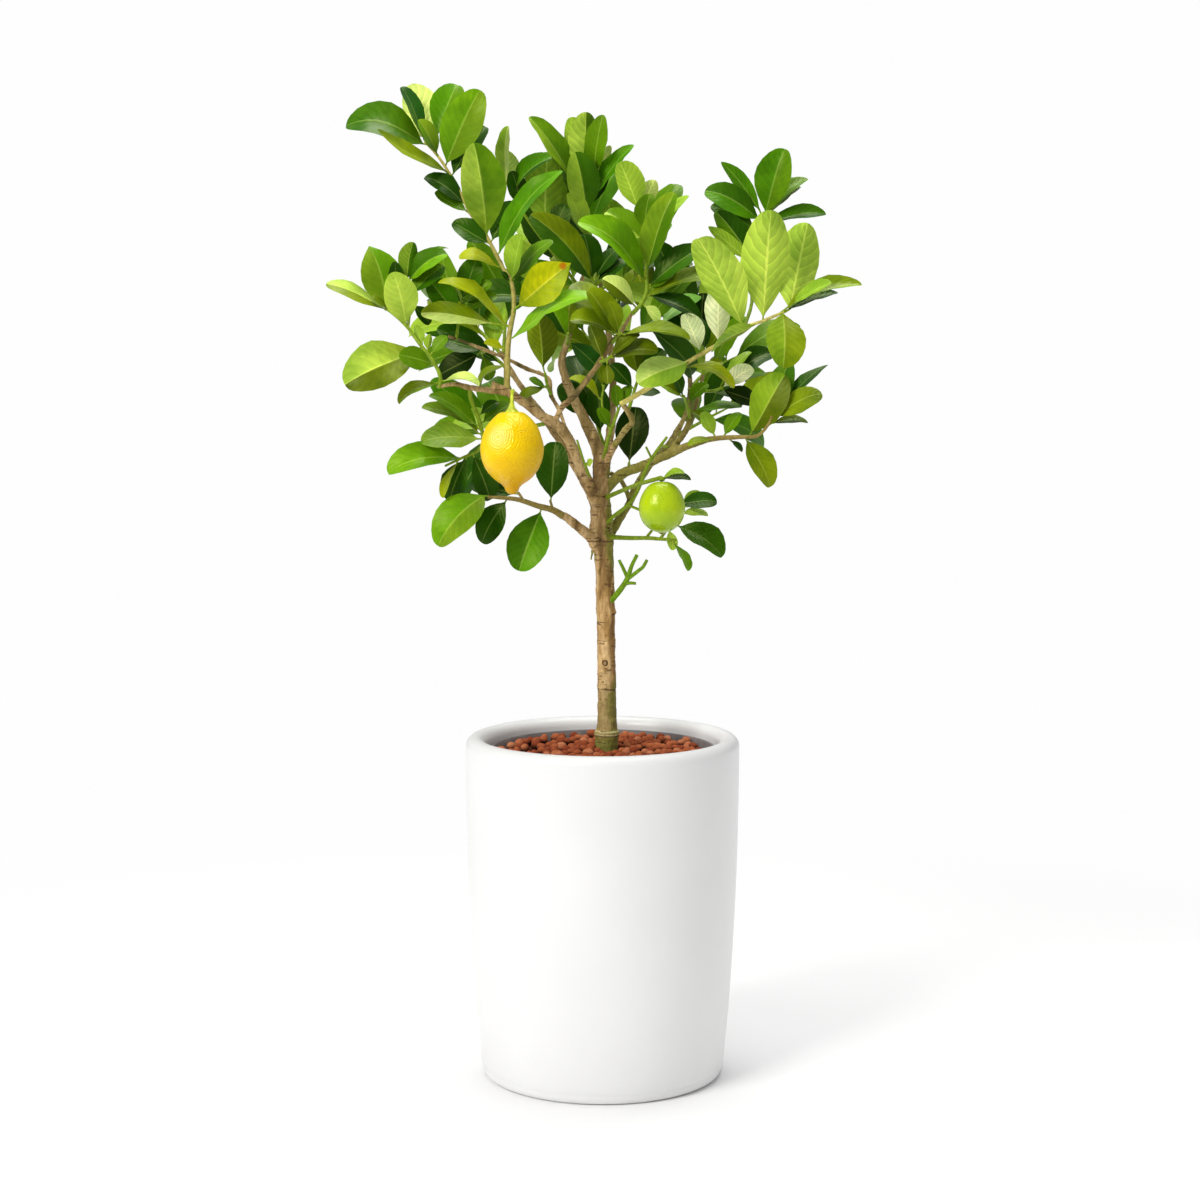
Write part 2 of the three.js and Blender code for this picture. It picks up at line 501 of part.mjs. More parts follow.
const RULE = {
  turn: 2.4, // radians from one leaf to the next round the stem
  stretch: [0.3, 0.93], // share of the stem between its first and its last leaf
  open: 0.95, // radians that a leaf leans out from the stem
  endOpen: 0.25, // and the last one
  lift: 0.12,
  length: [56, 82],
  slender: 0.46, // width as a share of the length
  arch: [0.05, 0.13],
  stalk: 7,
  light: new THREE.Vector3(-0.35, -0.75, 0.6), // where the light comes from, to which the upper faces turn
};

// ---------------------------------------------------------------- solids

function seeded(seed) {
  let state = seed;
  return () => {
    state = (state * 16807) % 2147483647;
    return state / 2147483647;
  };
}

function solid(geometry) {
  const bare = geometry.clone();
  bare.deleteAttribute("normal");
  bare.deleteAttribute("uv");
  const merged = mergeVertices(bare, 1e-4);
  return new wasm.Manifold(new wasm.Mesh({
    numProp: 3,
    vertProperties: new Float32Array(merged.attributes.position.array),
    triVerts: new Uint32Array(merged.index.array),
  }));
}

function geometryOf(body) {
  const mesh = body.getMesh();
  const geometry = new THREE.BufferGeometry();
  geometry.setAttribute("position", new THREE.BufferAttribute(new Float32Array(mesh.vertProperties), 3));
  geometry.setIndex(new THREE.BufferAttribute(new Uint32Array(mesh.triVerts), 1));
  const faceted = geometry.toNonIndexed();
  faceted.computeVertexNormals();
  return faceted;
}

const join = (bodies) => bodies.reduce((all, next) => all.add(next));

// The closed skin over rings of points that run counter-clockwise about the way from the first ring to the last.
// The last ring may be one point. Each strip is split the same way on opposite faces.
function skin(rings) {
  const points = rings.flat();
  const sides = rings[0].length;
  const index = [];
  const tip = rings.at(-1).length === 1;
  const bands = tip ? rings.length - 2 : rings.length - 1;
  for (let i = 0; i < bands; i++)
    for (let j = 0; j < sides; j++) {
      const a = i * sides + j;
      const b = i * sides + ((j + 1) % sides);
      const [c, d] = [a + sides, b + sides];
      if (j % 2 === 0) index.push(a, b, d, a, d, c);
      else index.push(a, b, c, b, d, c);
    }
  for (let j = 1; j < sides - 1; j++) index.push(0, j + 1, j);
  const last = bands * sides;
  for (let j = 0; tip && j < sides; j++) index.push(last + j, last + ((j + 1) % sides), points.length - 1);
  for (let j = 1; !tip && j < sides - 1; j++) index.push(last, last + j, last + j + 1);
  const geometry = new THREE.BufferGeometry().setFromPoints(points);
  geometry.setIndex(index);
  return geometry;
}

// A round tube along a route of u, v, depth and radius, with fat added to its radius and to its far end.
function tube(route, sides, perSpan, fat = 0) {
  const places = route.map(onRoute);
  if (fat) {
    const end = places.at(-1);
    end.addScaledVector(end.clone().sub(places.at(-2)).normalize(), fat);
  }
  const curve = new THREE.CatmullRomCurve3(places, false, "catmullrom", 0.5);
  const steps = (route.length - 1) * perSpan;
  const radius = (i) => {
    const k = Math.min(Math.floor(i / perSpan), route.length - 2);
    return THREE.MathUtils.lerp(route[k][3], route[k + 1][3], i / perSpan - k) + fat;
  };
  const frames = curveFrames(curve, steps);
  return solid(skin(frames.map(({ point, across, up }, i) =>
    Array.from({ length: sides }, (_, j) => {
      const angle = (2 * Math.PI * j) / sides;
      return point.clone()
        .addScaledVector(across, radius(i) * Math.cos(angle))
        .addScaledVector(up, radius(i) * Math.sin(angle));
    }))));
}

// Points along a curve, each with two directions across it that turn as little as they can from point to point.
function curveFrames(curve, steps) {
  const frames = [];
  let across = null;
  for (let i = 0; i <= steps; i++) {
    const t = i / steps;
    const point = curve.getPoint(t);
    const before = curve.getPoint(Math.max(t - 0.5 / steps, 0));
    const along = curve.getPoint(Math.min(t + 0.5 / steps, 1)).sub(before).normalize();
    if (!across) across = new THREE.Vector3(1, 0, 0).cross(along).lengthSq() > 0.05
      ? new THREE.Vector3(1, 0, 0) : new THREE.Vector3(0, 1, 0);
    across = across.clone().addScaledVector(along, -across.dot(along)).normalize();
    frames.push({ point, across, up: along.clone().cross(across) });
  }
  return frames;
}

function revolve(profile, sides) {
  const geometry = new THREE.LatheGeometry(profile.map(([r, z]) => new THREE.Vector2(r, z)), sides);
  return geometry.rotateX(Math.PI / 2);
}

const arc = (r, z, radius, from, to, steps) =>
  Array.from({ length: steps + 1 }, (_, i) => {
    const a = THREE.MathUtils.degToRad(THREE.MathUtils.lerp(from, to, i / steps));
    return [r + radius * Math.cos(a), z + radius * Math.sin(a)];
  });

// ---------------------------------------------------------------- pots and granules

function planter() {
  const p = PLANTER;
  const rimHeight = p.height - p.rimTube;
  return revolve([
    [0, 0],
    ...arc(p.base, p.corner, p.corner, -90, -10, 2),
    ...p.wall,
    ...arc(p.rimCrest, rimHeight, p.rimTube, 0, 180, 6),
    [p.innerWall, rimHeight - p.straight],
    [p.innerWall - p.innerTaper, p.floor],
    [0, p.floor],
  ], p.sides);
}

function liner() {
  const bottom = PLANTER.floor + GAP;
  const { rim, base, top, wall, lip, lipDepth } = LINER;
  return revolve([
    [0, bottom],
    [base, bottom],
    [rim - lip, top - lipDepth],
    [rim, top - lipDepth],
    [rim, top],
    [rim - lip - wall, top],
    [base - wall, bottom + wall],
    [0, bottom + wall],
  ], LINER.sides);
}

// The inner radius of the liner's sloping wall at a height.
function linerInside(z) {
  const low = PLANTER.floor + GAP + LINER.wall;
  return THREE.MathUtils.mapLinear(z, low, LINER.top, LINER.base - LINER.wall, LINER.rim - LINER.lip - LINER.wall);
}

// A triangular lattice, a third of whose points are the crowns of granules, over the filled body of the bed.
function granules() {
  const g = GRANULES;
  const draw = seeded(g.seed);
  const step = g.pitch / Math.sqrt(3);
  const reach = Math.ceil((LINER.rim * Math.sqrt(2)) / step);
  const top = [];
  for (let i = -reach; i <= reach; i++)
    for (let j = -reach; j <= reach; j++) {
      const crown = (i - j) % 3 === 0;
      const [x, y] = [step * (i + j / 2), (step * j * Math.sqrt(3)) / 2];
      const heap = g.heap * Math.max(0, 1 - Math.hypot(x, y) / LINER.rim);
      top.push(new THREE.Vector3(x, y, (crown ? g.high : g.low) + g.uneven * (draw() - 0.5) + heap));
    }
  const count = 2 * reach + 1;
  const bottom = top.map((p) => new THREE.Vector3(p.x, p.y, g.bed - g.depth));
  const index = [];
  const put = (a, b, c, offset) => (offset ? index.push(a + offset, c + offset, b + offset) : index.push(a, b, c));
  for (const offset of [0, top.length])
    for (let i = 0; i < count - 1; i++)
      for (let j = 0; j < count - 1; j++) {
        const a = i * count + j;
        put(a, a + count, a + 1, offset);
        put(a + 1, a + count, a + count + 1, offset);
      }
  const wall = (a, b) => index.push(a, b, b + top.length, a, b + top.length, a + top.length);
  for (let k = 0; k < count - 1; k++) {
    wall((k + 1) * count, k * count);
    wall(k * count + count - 1, (k + 1) * count + count - 1);
    wall(k, k + 1);
    wall((count - 1) * count + k + 1, (count - 1) * count + k);
  }
  const layer = new THREE.BufferGeometry().setFromPoints([...top, ...bottom]);
  layer.setIndex(index);

  const low = PLANTER.floor + 2 * GAP + LINER.wall;
  const high = g.high + g.heap + g.uneven;
  const edge = (z) => [linerInside(z) - GAP, z];
  const body = revolve([[0, low], edge(low), edge(g.bed), [0, g.bed]], LINER.sides);
  const under = g.bed - 2 * g.depth;
  const column = revolve([[0, under], edge(under), edge(high), [0, high]], LINER.sides);
  const wide = Math.max(...TRUNK_ROUTE.slice(0, 3).map((p) => p[3])) + TRUNK.holeMargin;
  const deep = 2 * (high - TRUNK.foot);
  const hole = new THREE.CylinderGeometry(wide, wide, deep, TRUNK.holeSides).rotateX(Math.PI / 2);
  hole.translate(onRoute(TRUNK_ROUTE[0]).x, 0, TRUNK.foot - GAP + deep / 2);
  return solid(layer).intersect(solid(column)).add(solid(body)).subtract(solid(hole));
}

// ---------------------------------------------------------------- wood

function wood(fat = 0) {
  const foot = onRoute(TRUNK_ROUTE[0]);
  const trunk = tube(TRUNK_ROUTE, TRUNK.sides, 1, fat);
  const radius = TRUNK_ROUTE[0][3] + fat;
  const root = new THREE.CylinderGeometry(radius, radius * 0.96, foot.z - TRUNK.foot + 2, TRUNK.sides)
    .rotateX(Math.PI / 2)
    .translate(foot.x, 0, (foot.z + TRUNK.foot) / 2 + 1);
  const [thick, thin] = TRUNK.limbSides;
  const limbs = Object.values(LIMBS).map((route) =>
    tube(route, route[0][3] > TRUNK.thickLimb ? thick : thin, 1, fat));
  return join([trunk, solid(root), ...limbs]);
}

// ---------------------------------------------------------------- leaves

// The place of one leaf: where its stalk leaves the stem, where the blade starts and ends, and its upper side.
function placeLeaf(stems, [u0, v0, u1, v1, back, seen, roll, arch]) {
  const root = onRoute(nearest(stems, u0, v0));
  const base = at(u0, v0, root.y + 0.1 * back);
  const tip = at(u1, v1, root.y + back);
  return { root, base, tip, seen, roll: THREE.MathUtils.degToRad(roll), arch };
}

// The point on the stems that is closest to u, v in the front view.
function nearest(stems, u, v) {
  let best = null;
  for (const route of stems)
    for (let i = 0; i < route.length - 1; i++) {
      const [a, b] = [route[i], route[i + 1]];
      const span = [b[0] - a[0], b[1] - a[1]];
      const share = ((u - a[0]) * span[0] + (v - a[1]) * span[1]) / (span[0] ** 2 + span[1] ** 2 || 1);
      const t = THREE.MathUtils.clamp(share, i === 0 ? 0.5 : 0, i === route.length - 2 ? 0.8 : 1);
      const p = a.map((value, k) => value + t * (b[k] - value));
      const far = Math.hypot(p[0] - u, p[1] - v);
      if (!best || far < best.far) best = { far, p };
    }
  return best.p;
}

// Leaves of a spray grown by rule, set round its stem in turn.
function growLeaves([route, count, seed]) {
  const draw = seeded(seed);
  const between = ([low, high]) => low + (high - low) * draw();
  const curve = new THREE.CatmullRomCurve3(route.map(onRoute), false, "catmullrom", 0.5);
  const turned = 2 * Math.PI * draw();
  return Array.from({ length: count }, (_, i) => {
    const t = THREE.MathUtils.lerp(...RULE.stretch, i / (count - 1));
    const root = curve.getPoint(t);
    const along = curve.getTangent(Math.min(t, 0.98));
    const across = new THREE.Vector3(0, 0, 1).cross(along).normalize();
    const out = across.applyAxisAngle(along, turned + RULE.turn * i);
    const open = i === count - 1 ? RULE.endOpen : RULE.open;
    const way = along.multiplyScalar(Math.cos(open)).addScaledVector(out, Math.sin(open));
    way.z += RULE.lift;
    way.normalize();
    const length = between(RULE.length);
    const base = root.clone().addScaledVector(way, RULE.stalk);
    const tip = base.clone().addScaledVector(way, length);
    return { root, base, tip, wide: RULE.slender * length, up: RULE.light.clone(), arch: between(RULE.arch) };
  });
}

// Rings of the leaf from the stalk inside the stem to the tip: left edge, upper midrib, right edge, lower midrib.
function leafRings(leaf, swing) {
  const tip = leaf.tip.clone();
  tip.y += swing;
  const along = tip.clone().sub(leaf.base).normalize();
  const base = leaf.base.clone();
  const stalk = base.clone().sub(leaf.root);
  if (stalk.length() < LEAF.shortStalk || stalk.dot(along) < LEAF.stalkAhead * stalk.length())
    base.copy(leaf.root).addScaledVector(along, Math.max(LEAF.shortStalk, 0.6 * stalk.length()));
  const length = tip.distanceTo(base);
  const up = upperSide(leaf, base, along);
  const side = along.clone().cross(up);
  const shown = Math.max(Math.abs(Math.cos(leaf.roll)), LEAF.steepest);
  const wide = leaf.wide ?? Math.min((LEAF.seen * leaf.seen) / shown, LEAF.widest * length);
  const ring = (middle, left, high, half, thick, lift) => [
    middle.clone().addScaledVector(left, -half).addScaledVector(high, lift),
    middle.clone().addScaledVector(high, thick / 2),
    middle.clone().addScaledVector(left, half).addScaledVector(high, lift),
    middle.clone().addScaledVector(high, -thick / 2),
  ];
  const turn = new THREE.Quaternion().setFromUnitVectors(along, base.clone().sub(leaf.root).normalize());
  const stalkRing = (middle, turned, half) => ring(middle, side.clone().applyQuaternion(turned),
    up.clone().applyQuaternion(turned), half, 2 * half, 0);
  const few = length < LEAF.smallest || !leaf.seen;
  const blade = (few ? LEAF.fewRows : LEAF.rows).map((s) => {
    const half = (wide / 2) * Math.sin(Math.PI * s) ** LEAF.fullness;
    const middle = base.clone().lerp(tip, s).addScaledVector(up, leaf.arch * length * 4 * s * (1 - s));
    return ring(middle, side, up, half * Math.cos(LEAF.fold), LEAF.thickness, half * Math.sin(LEAF.fold));
  });
  const stalkRings = [stalkRing(leaf.root, turn, LEAF.root)];
  if (!few) stalkRings.push(stalkRing(base, turn.clone().slerp(new THREE.Quaternion(), 0.7), LEAF.petiole));
  return { stalkRings, bladeRings: [...blade, [tip]] };
}

// The way that the upper face of the blade looks, at right angles to the blade's length.
function upperSide(leaf, base, along) {
  const square = (v) => v.addScaledVector(along, -v.dot(along)).normalize();
  if (leaf.up) return square(leaf.up.clone());
  const face = square(EYE.clone().sub(base));
  const across = along.clone().cross(face);
  if (across.z < 0) across.negate();
  return face.multiplyScalar(Math.cos(leaf.roll)).addScaledVector(across, Math.sin(leaf.roll));
}

// ---------------------------------------------------------------- fruit

function fruit({ place, radius, length, sides }, outline) {
  const curve = new THREE.SplineCurve(outline.map(([r, z]) => new THREE.Vector2(r * radius, z * length)));
  const profile = curve.getPoints(sides / 2).map((p) => [Math.max(p.x, 0), p.y]);
  profile[0][0] = 0;
  profile.at(-1)[0] = 0;
  const middle = onRoute(place);
  return revolve(profile.reverse(), sides).translate(middle.x, middle.y, middle.z);
}

// Half outlines from the stalk end to the far end: share of the radius, share of the length.
const LEMON_OUTLINE = [[0, 0.476], [0.36, 0.466], [0.79, 0.31], [1, 0.04], [0.9, -0.16], [0.62, -0.31], [0.26, -0.41],
  [0.14, -0.49], [0, -0.51]];
const ROUND_OUTLINE = [[0, 0.48], [0.5, 0.45], [0.92, 0.22], [1, -0.02], [0.88, -0.28], [0.5, -0.45], [0.12, -0.5],
  [0, -0.52]];

// The lemon hangs from the left limb on an arched stalk that widens to a cup on the fruit.
const LEMON_STALK = [[512, 392, -38, 2.2], [513, 391, -50, 2.1], [512, 397, -62, 2.1], [512, 405, -67, 2.6],
  [512, 412, -68, 5.2]];

// ---------------------------------------------------------------- the tree

const TOUCH = 0.002; // mm3 that two bodies may share

const overlaps = (a, b) => a.intersect(b).volume() > TOUCH;

function boxesMeet(a, b) {
  return [0, 1, 2].every((k) => a.min[k] <= b.max[k] && b.min[k] <= a.max[k]);
}

const boxed = (owner, body, blade = body) => ({ owner, body, blade, box: body.boundingBox() });

// Stems first, each cut back from the wood and stems before it, and then each leaf where it is clear of other nodes.
function growTree(fixed) {
  const sprays = { ...SPRAYS };
  for (const [name, rule] of Object.entries(GROWN)) sprays[name] = { stems: [rule[0]], grown: growLeaves(rule) };
  let fatWood = wood(GAP);
  const stems = {};
  for (const [name, spray] of Object.entries(sprays)) {
    stems[name] = join(spray.stems.map((route) => tube(route, STEM_SIDES, 1))).subtract(fatWood);
    stems[name] = stems[name].decompose().sort((a, b) => b.volume() - a.volume())[0];
    fatWood = fatWood.add(join(spray.stems.map((route) => tube(route, STEM_SIDES, 1, GAP))));
  }
  const taken = [
    ...fixed.map((body) => boxed("fixed", body)),
    ...Object.entries(stems).map(([name, body]) => boxed(name, body)),
  ];
  const bodies = {};
  for (const [name, spray] of Object.entries(sprays)) {
    const leaves = spray.grown ?? spray.leaves.map((row) => placeLeaf(spray.stems, row));
    const own = [];
    for (const leaf of leaves) {
      const placed = findPlace(name, leaf, taken);
      if (!placed) continue;
      own.push(placed.body);
      taken.push(placed);
    }
    bodies[name] = own.length ? join([stems[name], ...own]) : stems[name];
  }
  return bodies;
}

// The first swing that is clear of everything, or else the first that is clear of the other nodes.
function findPlace(owner, leaf, taken) {
  let second = null;
  for (const swing of SWINGS) {
    const { stalkRings, bladeRings } = leafRings(leaf, swing);
    const whole = boxed(owner, solid(skin([...stalkRings, ...bladeRings])), solid(skin(bladeRings)));
    const near = taken.filter((other) => boxesMeet(whole.box, other.box));
    if (near.some((other) => other.owner !== owner && overlaps(whole.body, other.body))) continue;
    if (!near.some((other) => other.owner === owner && overlaps(whole.blade, other.blade))) return whole;
    second ??= whole;
  }
  return second;
}

// ---------------------------------------------------------------- the model

const COLOURS = {
  planter: ["#f7f7f6", 0.35],
  grow_pot: ["#4a4644", 0.6],
  clay_granules: ["#9c4e33", 0.95],
  trunk: ["#a98a5c", 0.85],
  lemon: ["#f6cf10", 0.35],
  lemon_stalk: ["#b9c431", 0.6],
  green_lemon: ["#a5c21c", 0.35],
  yellow_leaf: ["#c8cf12", 0.45],
};
const LEAF_GREENS = ["#5d8f1c", "#6f9e2a", "#4a7a18", "#86a92f"];

const model = new THREE.Group();

function add(name, geometry, [colour, roughness]) {
  const material = new THREE.MeshStandardMaterial({ color: colour, roughness, metalness: 0 });
  const mesh = new THREE.Mesh(geometry, material);
  mesh.name = name;
  model.add(mesh);
}

const tree = wood();
const stalk = tube(LEMON_STALK, 8, 2).subtract(wood(GAP));
const lemon = fruit(LEMON, LEMON_OUTLINE);
const greenLemon = fruit(GREEN_LEMON, ROUND_OUTLINE);

add("planter", planter(), COLOURS.planter);
add("grow_pot", liner(), COLOURS.grow_pot);
add("clay_granules", geometryOf(granules()), COLOURS.clay_granules);
add("trunk", geometryOf(tree), COLOURS.trunk);
add("lemon", lemon, COLOURS.lemon);
add("lemon_stalk", geometryOf(stalk.subtract(solid(lemon))), COLOURS.lemon_stalk);
add("green_lemon", greenLemon, COLOURS.green_lemon);
const foliage = growTree([tree, stalk, solid(lemon), solid(greenLemon)]);
Object.entries(foliage).forEach(([name, body], i) =>
  add(name, geometryOf(body), COLOURS[name] ?? [LEAF_GREENS[i % LEAF_GREENS.length], 0.45]));

export default model;
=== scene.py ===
"""A young lemon tree in a white planter, dressed around its frame. Metres, +Z up, the front faces -Y."""
import json
import math
import random

import bpy
import numpy as np
from mathutils import Matrix, Quaternion, Vector


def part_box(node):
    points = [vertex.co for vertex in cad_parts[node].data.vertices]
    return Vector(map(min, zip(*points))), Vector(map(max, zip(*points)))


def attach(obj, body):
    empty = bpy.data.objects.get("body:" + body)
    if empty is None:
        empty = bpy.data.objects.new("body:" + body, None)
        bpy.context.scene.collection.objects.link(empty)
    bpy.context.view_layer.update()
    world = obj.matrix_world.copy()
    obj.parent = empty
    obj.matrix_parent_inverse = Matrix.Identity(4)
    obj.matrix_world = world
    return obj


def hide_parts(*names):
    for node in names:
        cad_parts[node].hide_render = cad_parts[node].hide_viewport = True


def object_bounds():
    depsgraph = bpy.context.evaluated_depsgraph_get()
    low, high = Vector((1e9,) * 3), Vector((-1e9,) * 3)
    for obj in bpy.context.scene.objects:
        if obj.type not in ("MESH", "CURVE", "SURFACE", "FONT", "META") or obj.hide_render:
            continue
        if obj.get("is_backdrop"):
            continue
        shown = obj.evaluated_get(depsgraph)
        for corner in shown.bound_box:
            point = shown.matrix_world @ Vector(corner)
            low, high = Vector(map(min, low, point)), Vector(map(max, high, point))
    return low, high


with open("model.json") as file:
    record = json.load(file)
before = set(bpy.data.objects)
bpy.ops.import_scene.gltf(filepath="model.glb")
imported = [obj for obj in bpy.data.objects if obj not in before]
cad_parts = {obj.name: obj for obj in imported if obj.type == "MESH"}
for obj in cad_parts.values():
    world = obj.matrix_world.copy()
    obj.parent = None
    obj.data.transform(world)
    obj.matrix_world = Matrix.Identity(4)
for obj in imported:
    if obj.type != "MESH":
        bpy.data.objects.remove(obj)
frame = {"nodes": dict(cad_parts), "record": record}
cad_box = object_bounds()

# ---------------------------------------------------------------- camera and light
# The view is level with the middle of the crown and looks a little down, through a long lens. The room is
# white, with a broad light from the upper left and a weaker one overhead.

EYE = Vector((-0.0026, -2.42, 0.736))
PITCH = math.radians(6)
LENS_MM = 73
SENSOR_MM = 36
PICTURE = 1200
FOCAL = LENS_MM / SENSOR_MM * PICTURE
MIDDLE = PICTURE / 2
LAYER = 0.0017  # depth of one layer of the routes below
LIT_POINT = Vector((0, 0, 0.6))
ROOM_GLOW = 0.4
BACKDROP = (0.99, 0.99, 0.99, 1)


def place(u, v, depth):
    """The point that the picture shows at u, v and that lies at a depth behind the plane of the trunk."""
    right, up = u - MIDDLE, MIDDLE - v
    ahead = FOCAL * math.cos(PITCH) + up * math.sin(PITCH)
    rise = -FOCAL * math.sin(PITCH) + up * math.cos(PITCH)
    reach = (depth - EYE.y) / ahead
    return Vector((EYE.x + reach * right, depth, EYE.z + reach * rise))


def on_route(point):
    """The place of a point of a route, which is u, v and a layer, and may hold more."""
    return place(point[0], point[1], point[2] * LAYER)


def add_object(name, data):
    made = bpy.data.objects.new(name, data)
    bpy.context.scene.collection.objects.link(made)
    return made


def soft_light(name, location, side, power, colour):
    lamp = bpy.data.lights.new(name, "AREA")
    lamp.size = side
    lamp.energy = power
    lamp.color = colour
    light = add_object(name, lamp)
    light.location = location
    light.rotation_euler = (LIT_POINT - Vector(location)).to_track_quat("-Z", "Y").to_euler()


bpy.context.scene.view_settings.view_transform = "Standard"
lens = bpy.data.cameras.new("lens")
lens.lens = LENS_MM
lens.sensor_width = SENSOR_MM
camera = add_object("camera", lens)
camera.location = EYE
camera.rotation_euler = (math.pi / 2 - PITCH, 0, 0)
bpy.context.scene.camera = camera

soft_light("key", (-1.7, -1.9, 2.1), 1.2, 58, (1, 0.99, 0.96))
soft_light("top", (0.1, 0.3, 2.7), 1.4, 48, (1, 1, 1))

room = bpy.data.worlds.new("room")
room.use_nodes = True
bpy.context.scene.world = room
nodes, link = room.node_tree.nodes, room.node_tree.links.new
walls = nodes["Background"]
walls.inputs["Color"].default_value = (1, 1, 1, 1)
walls.inputs["Strength"].default_value = ROOM_GLOW
backdrop = nodes.new("ShaderNodeBackground")
backdrop.inputs["Color"].default_value = BACKDROP
either = nodes.new("ShaderNodeMixShader")
link(nodes.new("ShaderNodeLightPath").outputs["Is Camera Ray"], either.inputs[0])
link(walls.outputs[0], either.inputs[1])
link(backdrop.outputs[0], either.inputs[2])
link(either.outputs[0], nodes["World Output"].inputs["Surface"])

# ---------------------------------------------------------------- planter
# One white cylinder pot with a slight taper, of glazed ceramic. Its wall rolls over into a thick round rim
# and its bottom edge is rounded above a flat foot.

PLANTER_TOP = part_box("planter")[1].z
RIM_CREST, RIM_TUBE = 0.1276, 0.0098  # the radius of the rim's middle line, and of its round section
RIM_MIDDLE = PLANTER_TOP - RIM_TUBE
PLANTER_INSIDE = 0.1175
PLANTER_FLOOR = 0.012
PLANTER_WALL = [(0.1235, 0.018), (0.1244, 0.030), (0.1282, 0.070), (0.1300, 0.096), (0.1326, 0.140),
                (0.1346, 0.182), (0.1360, 0.230), (0.1370, 0.280), (0.1374, 0.315)]
FOOT_RING, FOOT_CORNER = 0.1145, 0.0068
UNDER_FOOT = [(0.02, 0.0016), (0.108, 0.0016), (0.1105, 0.0), (FOOT_RING, 0.0)]
ABOVE_FOOT = [(0.1224, 0.0092), (0.1222, 0.0099), (0.1226, 0.0106)]  # a fine groove where the wall starts
PLANTER_LINING = [(PLANTER_INSIDE, RIM_MIDDLE - 0.03), (0.1130, 0.16), (0.1085, PLANTER_FLOOR + 0.006),
                  (0.104, PLANTER_FLOOR), (0.02, PLANTER_FLOOR)]
slot_of = {part["node"]: part["material_slot"] for part in frame["record"]["subparts"]}


class Value:
    """One output of a shader node. Arithmetic on it adds Math nodes."""

    def __init__(self, finish, socket):
        self.finish = finish
        self.socket = socket

    def __getitem__(self, output):
        return Value(self.finish, self.socket.node.outputs[output])

    def maths(self, operation, *others):
        return self.finish.node("ShaderNodeMath", {"operation": operation}, dict(enumerate((self, *others))))

    def __add__(self, other):
        return self.maths("ADD", other)

    def __sub__(self, other):
        return self.maths("SUBTRACT", other)

    def __mul__(self, other):
        return self.maths("MULTIPLY", other)

    def __rsub__(self, other):
        return self.finish.node("ShaderNodeMath", {"operation": "SUBTRACT"}, {0: other, 1: self})

    __radd__ = __add__
    __rmul__ = __mul__

    def absolute(self):
        return self.maths("ABSOLUTE")

    def band(self, low, high, start=0.0, end=1.0):
        """A smooth step from start at low to end at high."""
        return self.finish.node("ShaderNodeMapRange", {"interpolation_type": "SMOOTHSTEP"}, {
            "Value": self, "From Min": low, "From Max": high, "To Min": start, "To Max": end})

    def blend(self, none, full, how="MIX"):
        """The colour none where this value is 0, and full where it is 1."""
        return self.finish.mixed(self, none, full, how)


class Finish:
    """A material of one surface shader, whose other nodes come from node()."""

    def __init__(self, name, **surface):
        self.material = bpy.data.materials.new(name)
        self.material.use_nodes = True
        self.tree = self.material.node_tree
        self.shader = self.tree.nodes["Principled BSDF"]
        self.surface(**surface)

    def surface(self, **sockets):
        """Sets or links the shader's own sockets, such as base_color."""
        self.set(self.shader, {key.replace("_", " ").title().replace("Ior", "IOR"): value
                               for key, value in sockets.items()})

    def set(self, node, sockets):
        for name, value in sockets.items():
            if isinstance(value, Value):
                self.tree.links.new(value.socket, node.inputs[name])
            else:
                node.inputs[name].default_value = value

    def node(self, kind, settings=None, sockets=None, output=0):
        made = self.tree.nodes.new(kind)
        for name, value in (settings or {}).items():
            if name == "stops":
                elements = made.color_ramp.elements
                while len(elements) < len(value):
                    elements.new(0.5)
                for stop, (position, colour) in zip(elements, value):
                    stop.position = position
                    stop.color = colour
            else:
                setattr(made, name, value)
        self.set(made, sockets or {})
        return Value(self, made.outputs[output])

    def here(self):
        """The place on the object, in metres."""
        return self.node("ShaderNodeTexCoord")["Object"]

    def axes(self, where=None):
        """The X, Y and Z of a place, which is the place on the object where none is given."""
        return self.node("ShaderNodeSeparateXYZ", None, {"Vector": where or self.here()})

    def pattern(self):
        """The place on the piece's own pattern."""
        return self.axes(self.node("ShaderNodeTexCoord")["UV"])

    def tint(self):
        return self.node("ShaderNodeAttribute", {"attribute_name": "tint"})

    def far_from(self, point):
        """How far away a point is, in metres."""
        return self.node("ShaderNodeVectorMath", {"operation": "DISTANCE"},
                         {0: self.here(), 1: point}, "Value")

    def noise(self, scale, detail=2.0, rough=0.5, stretch=(1, 1, 1), distortion=0.0):
        where = self.node("ShaderNodeMapping", None, {"Vector": self.here(), "Scale": stretch})
        return self.node("ShaderNodeTexNoise", None, {
            "Vector": where, "Scale": scale, "Detail": detail, "Roughness": rough, "Distortion": distortion})

    def ramp(self, value, *stops):
        return self.node("ShaderNodeValToRGB", {"stops": stops}, {"Fac": value})

    def mixed(self, share, first, second, how="MIX"):
        """The colour first where share is 0, and second where it is 1."""
        return self.node("ShaderNodeMix", {"data_type": "RGBA", "blend_type": how},
                         {0: share, 6: first, 7: second}, 2)

    def bump(self, height, depth, strength=1.0):
        self.surface(normal=self.node("ShaderNodeBump", None, {
            "Height": height, "Distance": depth, "Strength": strength}))


def paint(red, green, blue):
    """A colour given in screen values of 0 to 255, as the light that the shader works with."""
    def linear(value):
        value /= 255
        return value / 12.92 if value <= 0.04045 else ((value + 0.055) / 1.055) ** 2.4
    return (linear(red), linear(green), linear(blue), 1.0)


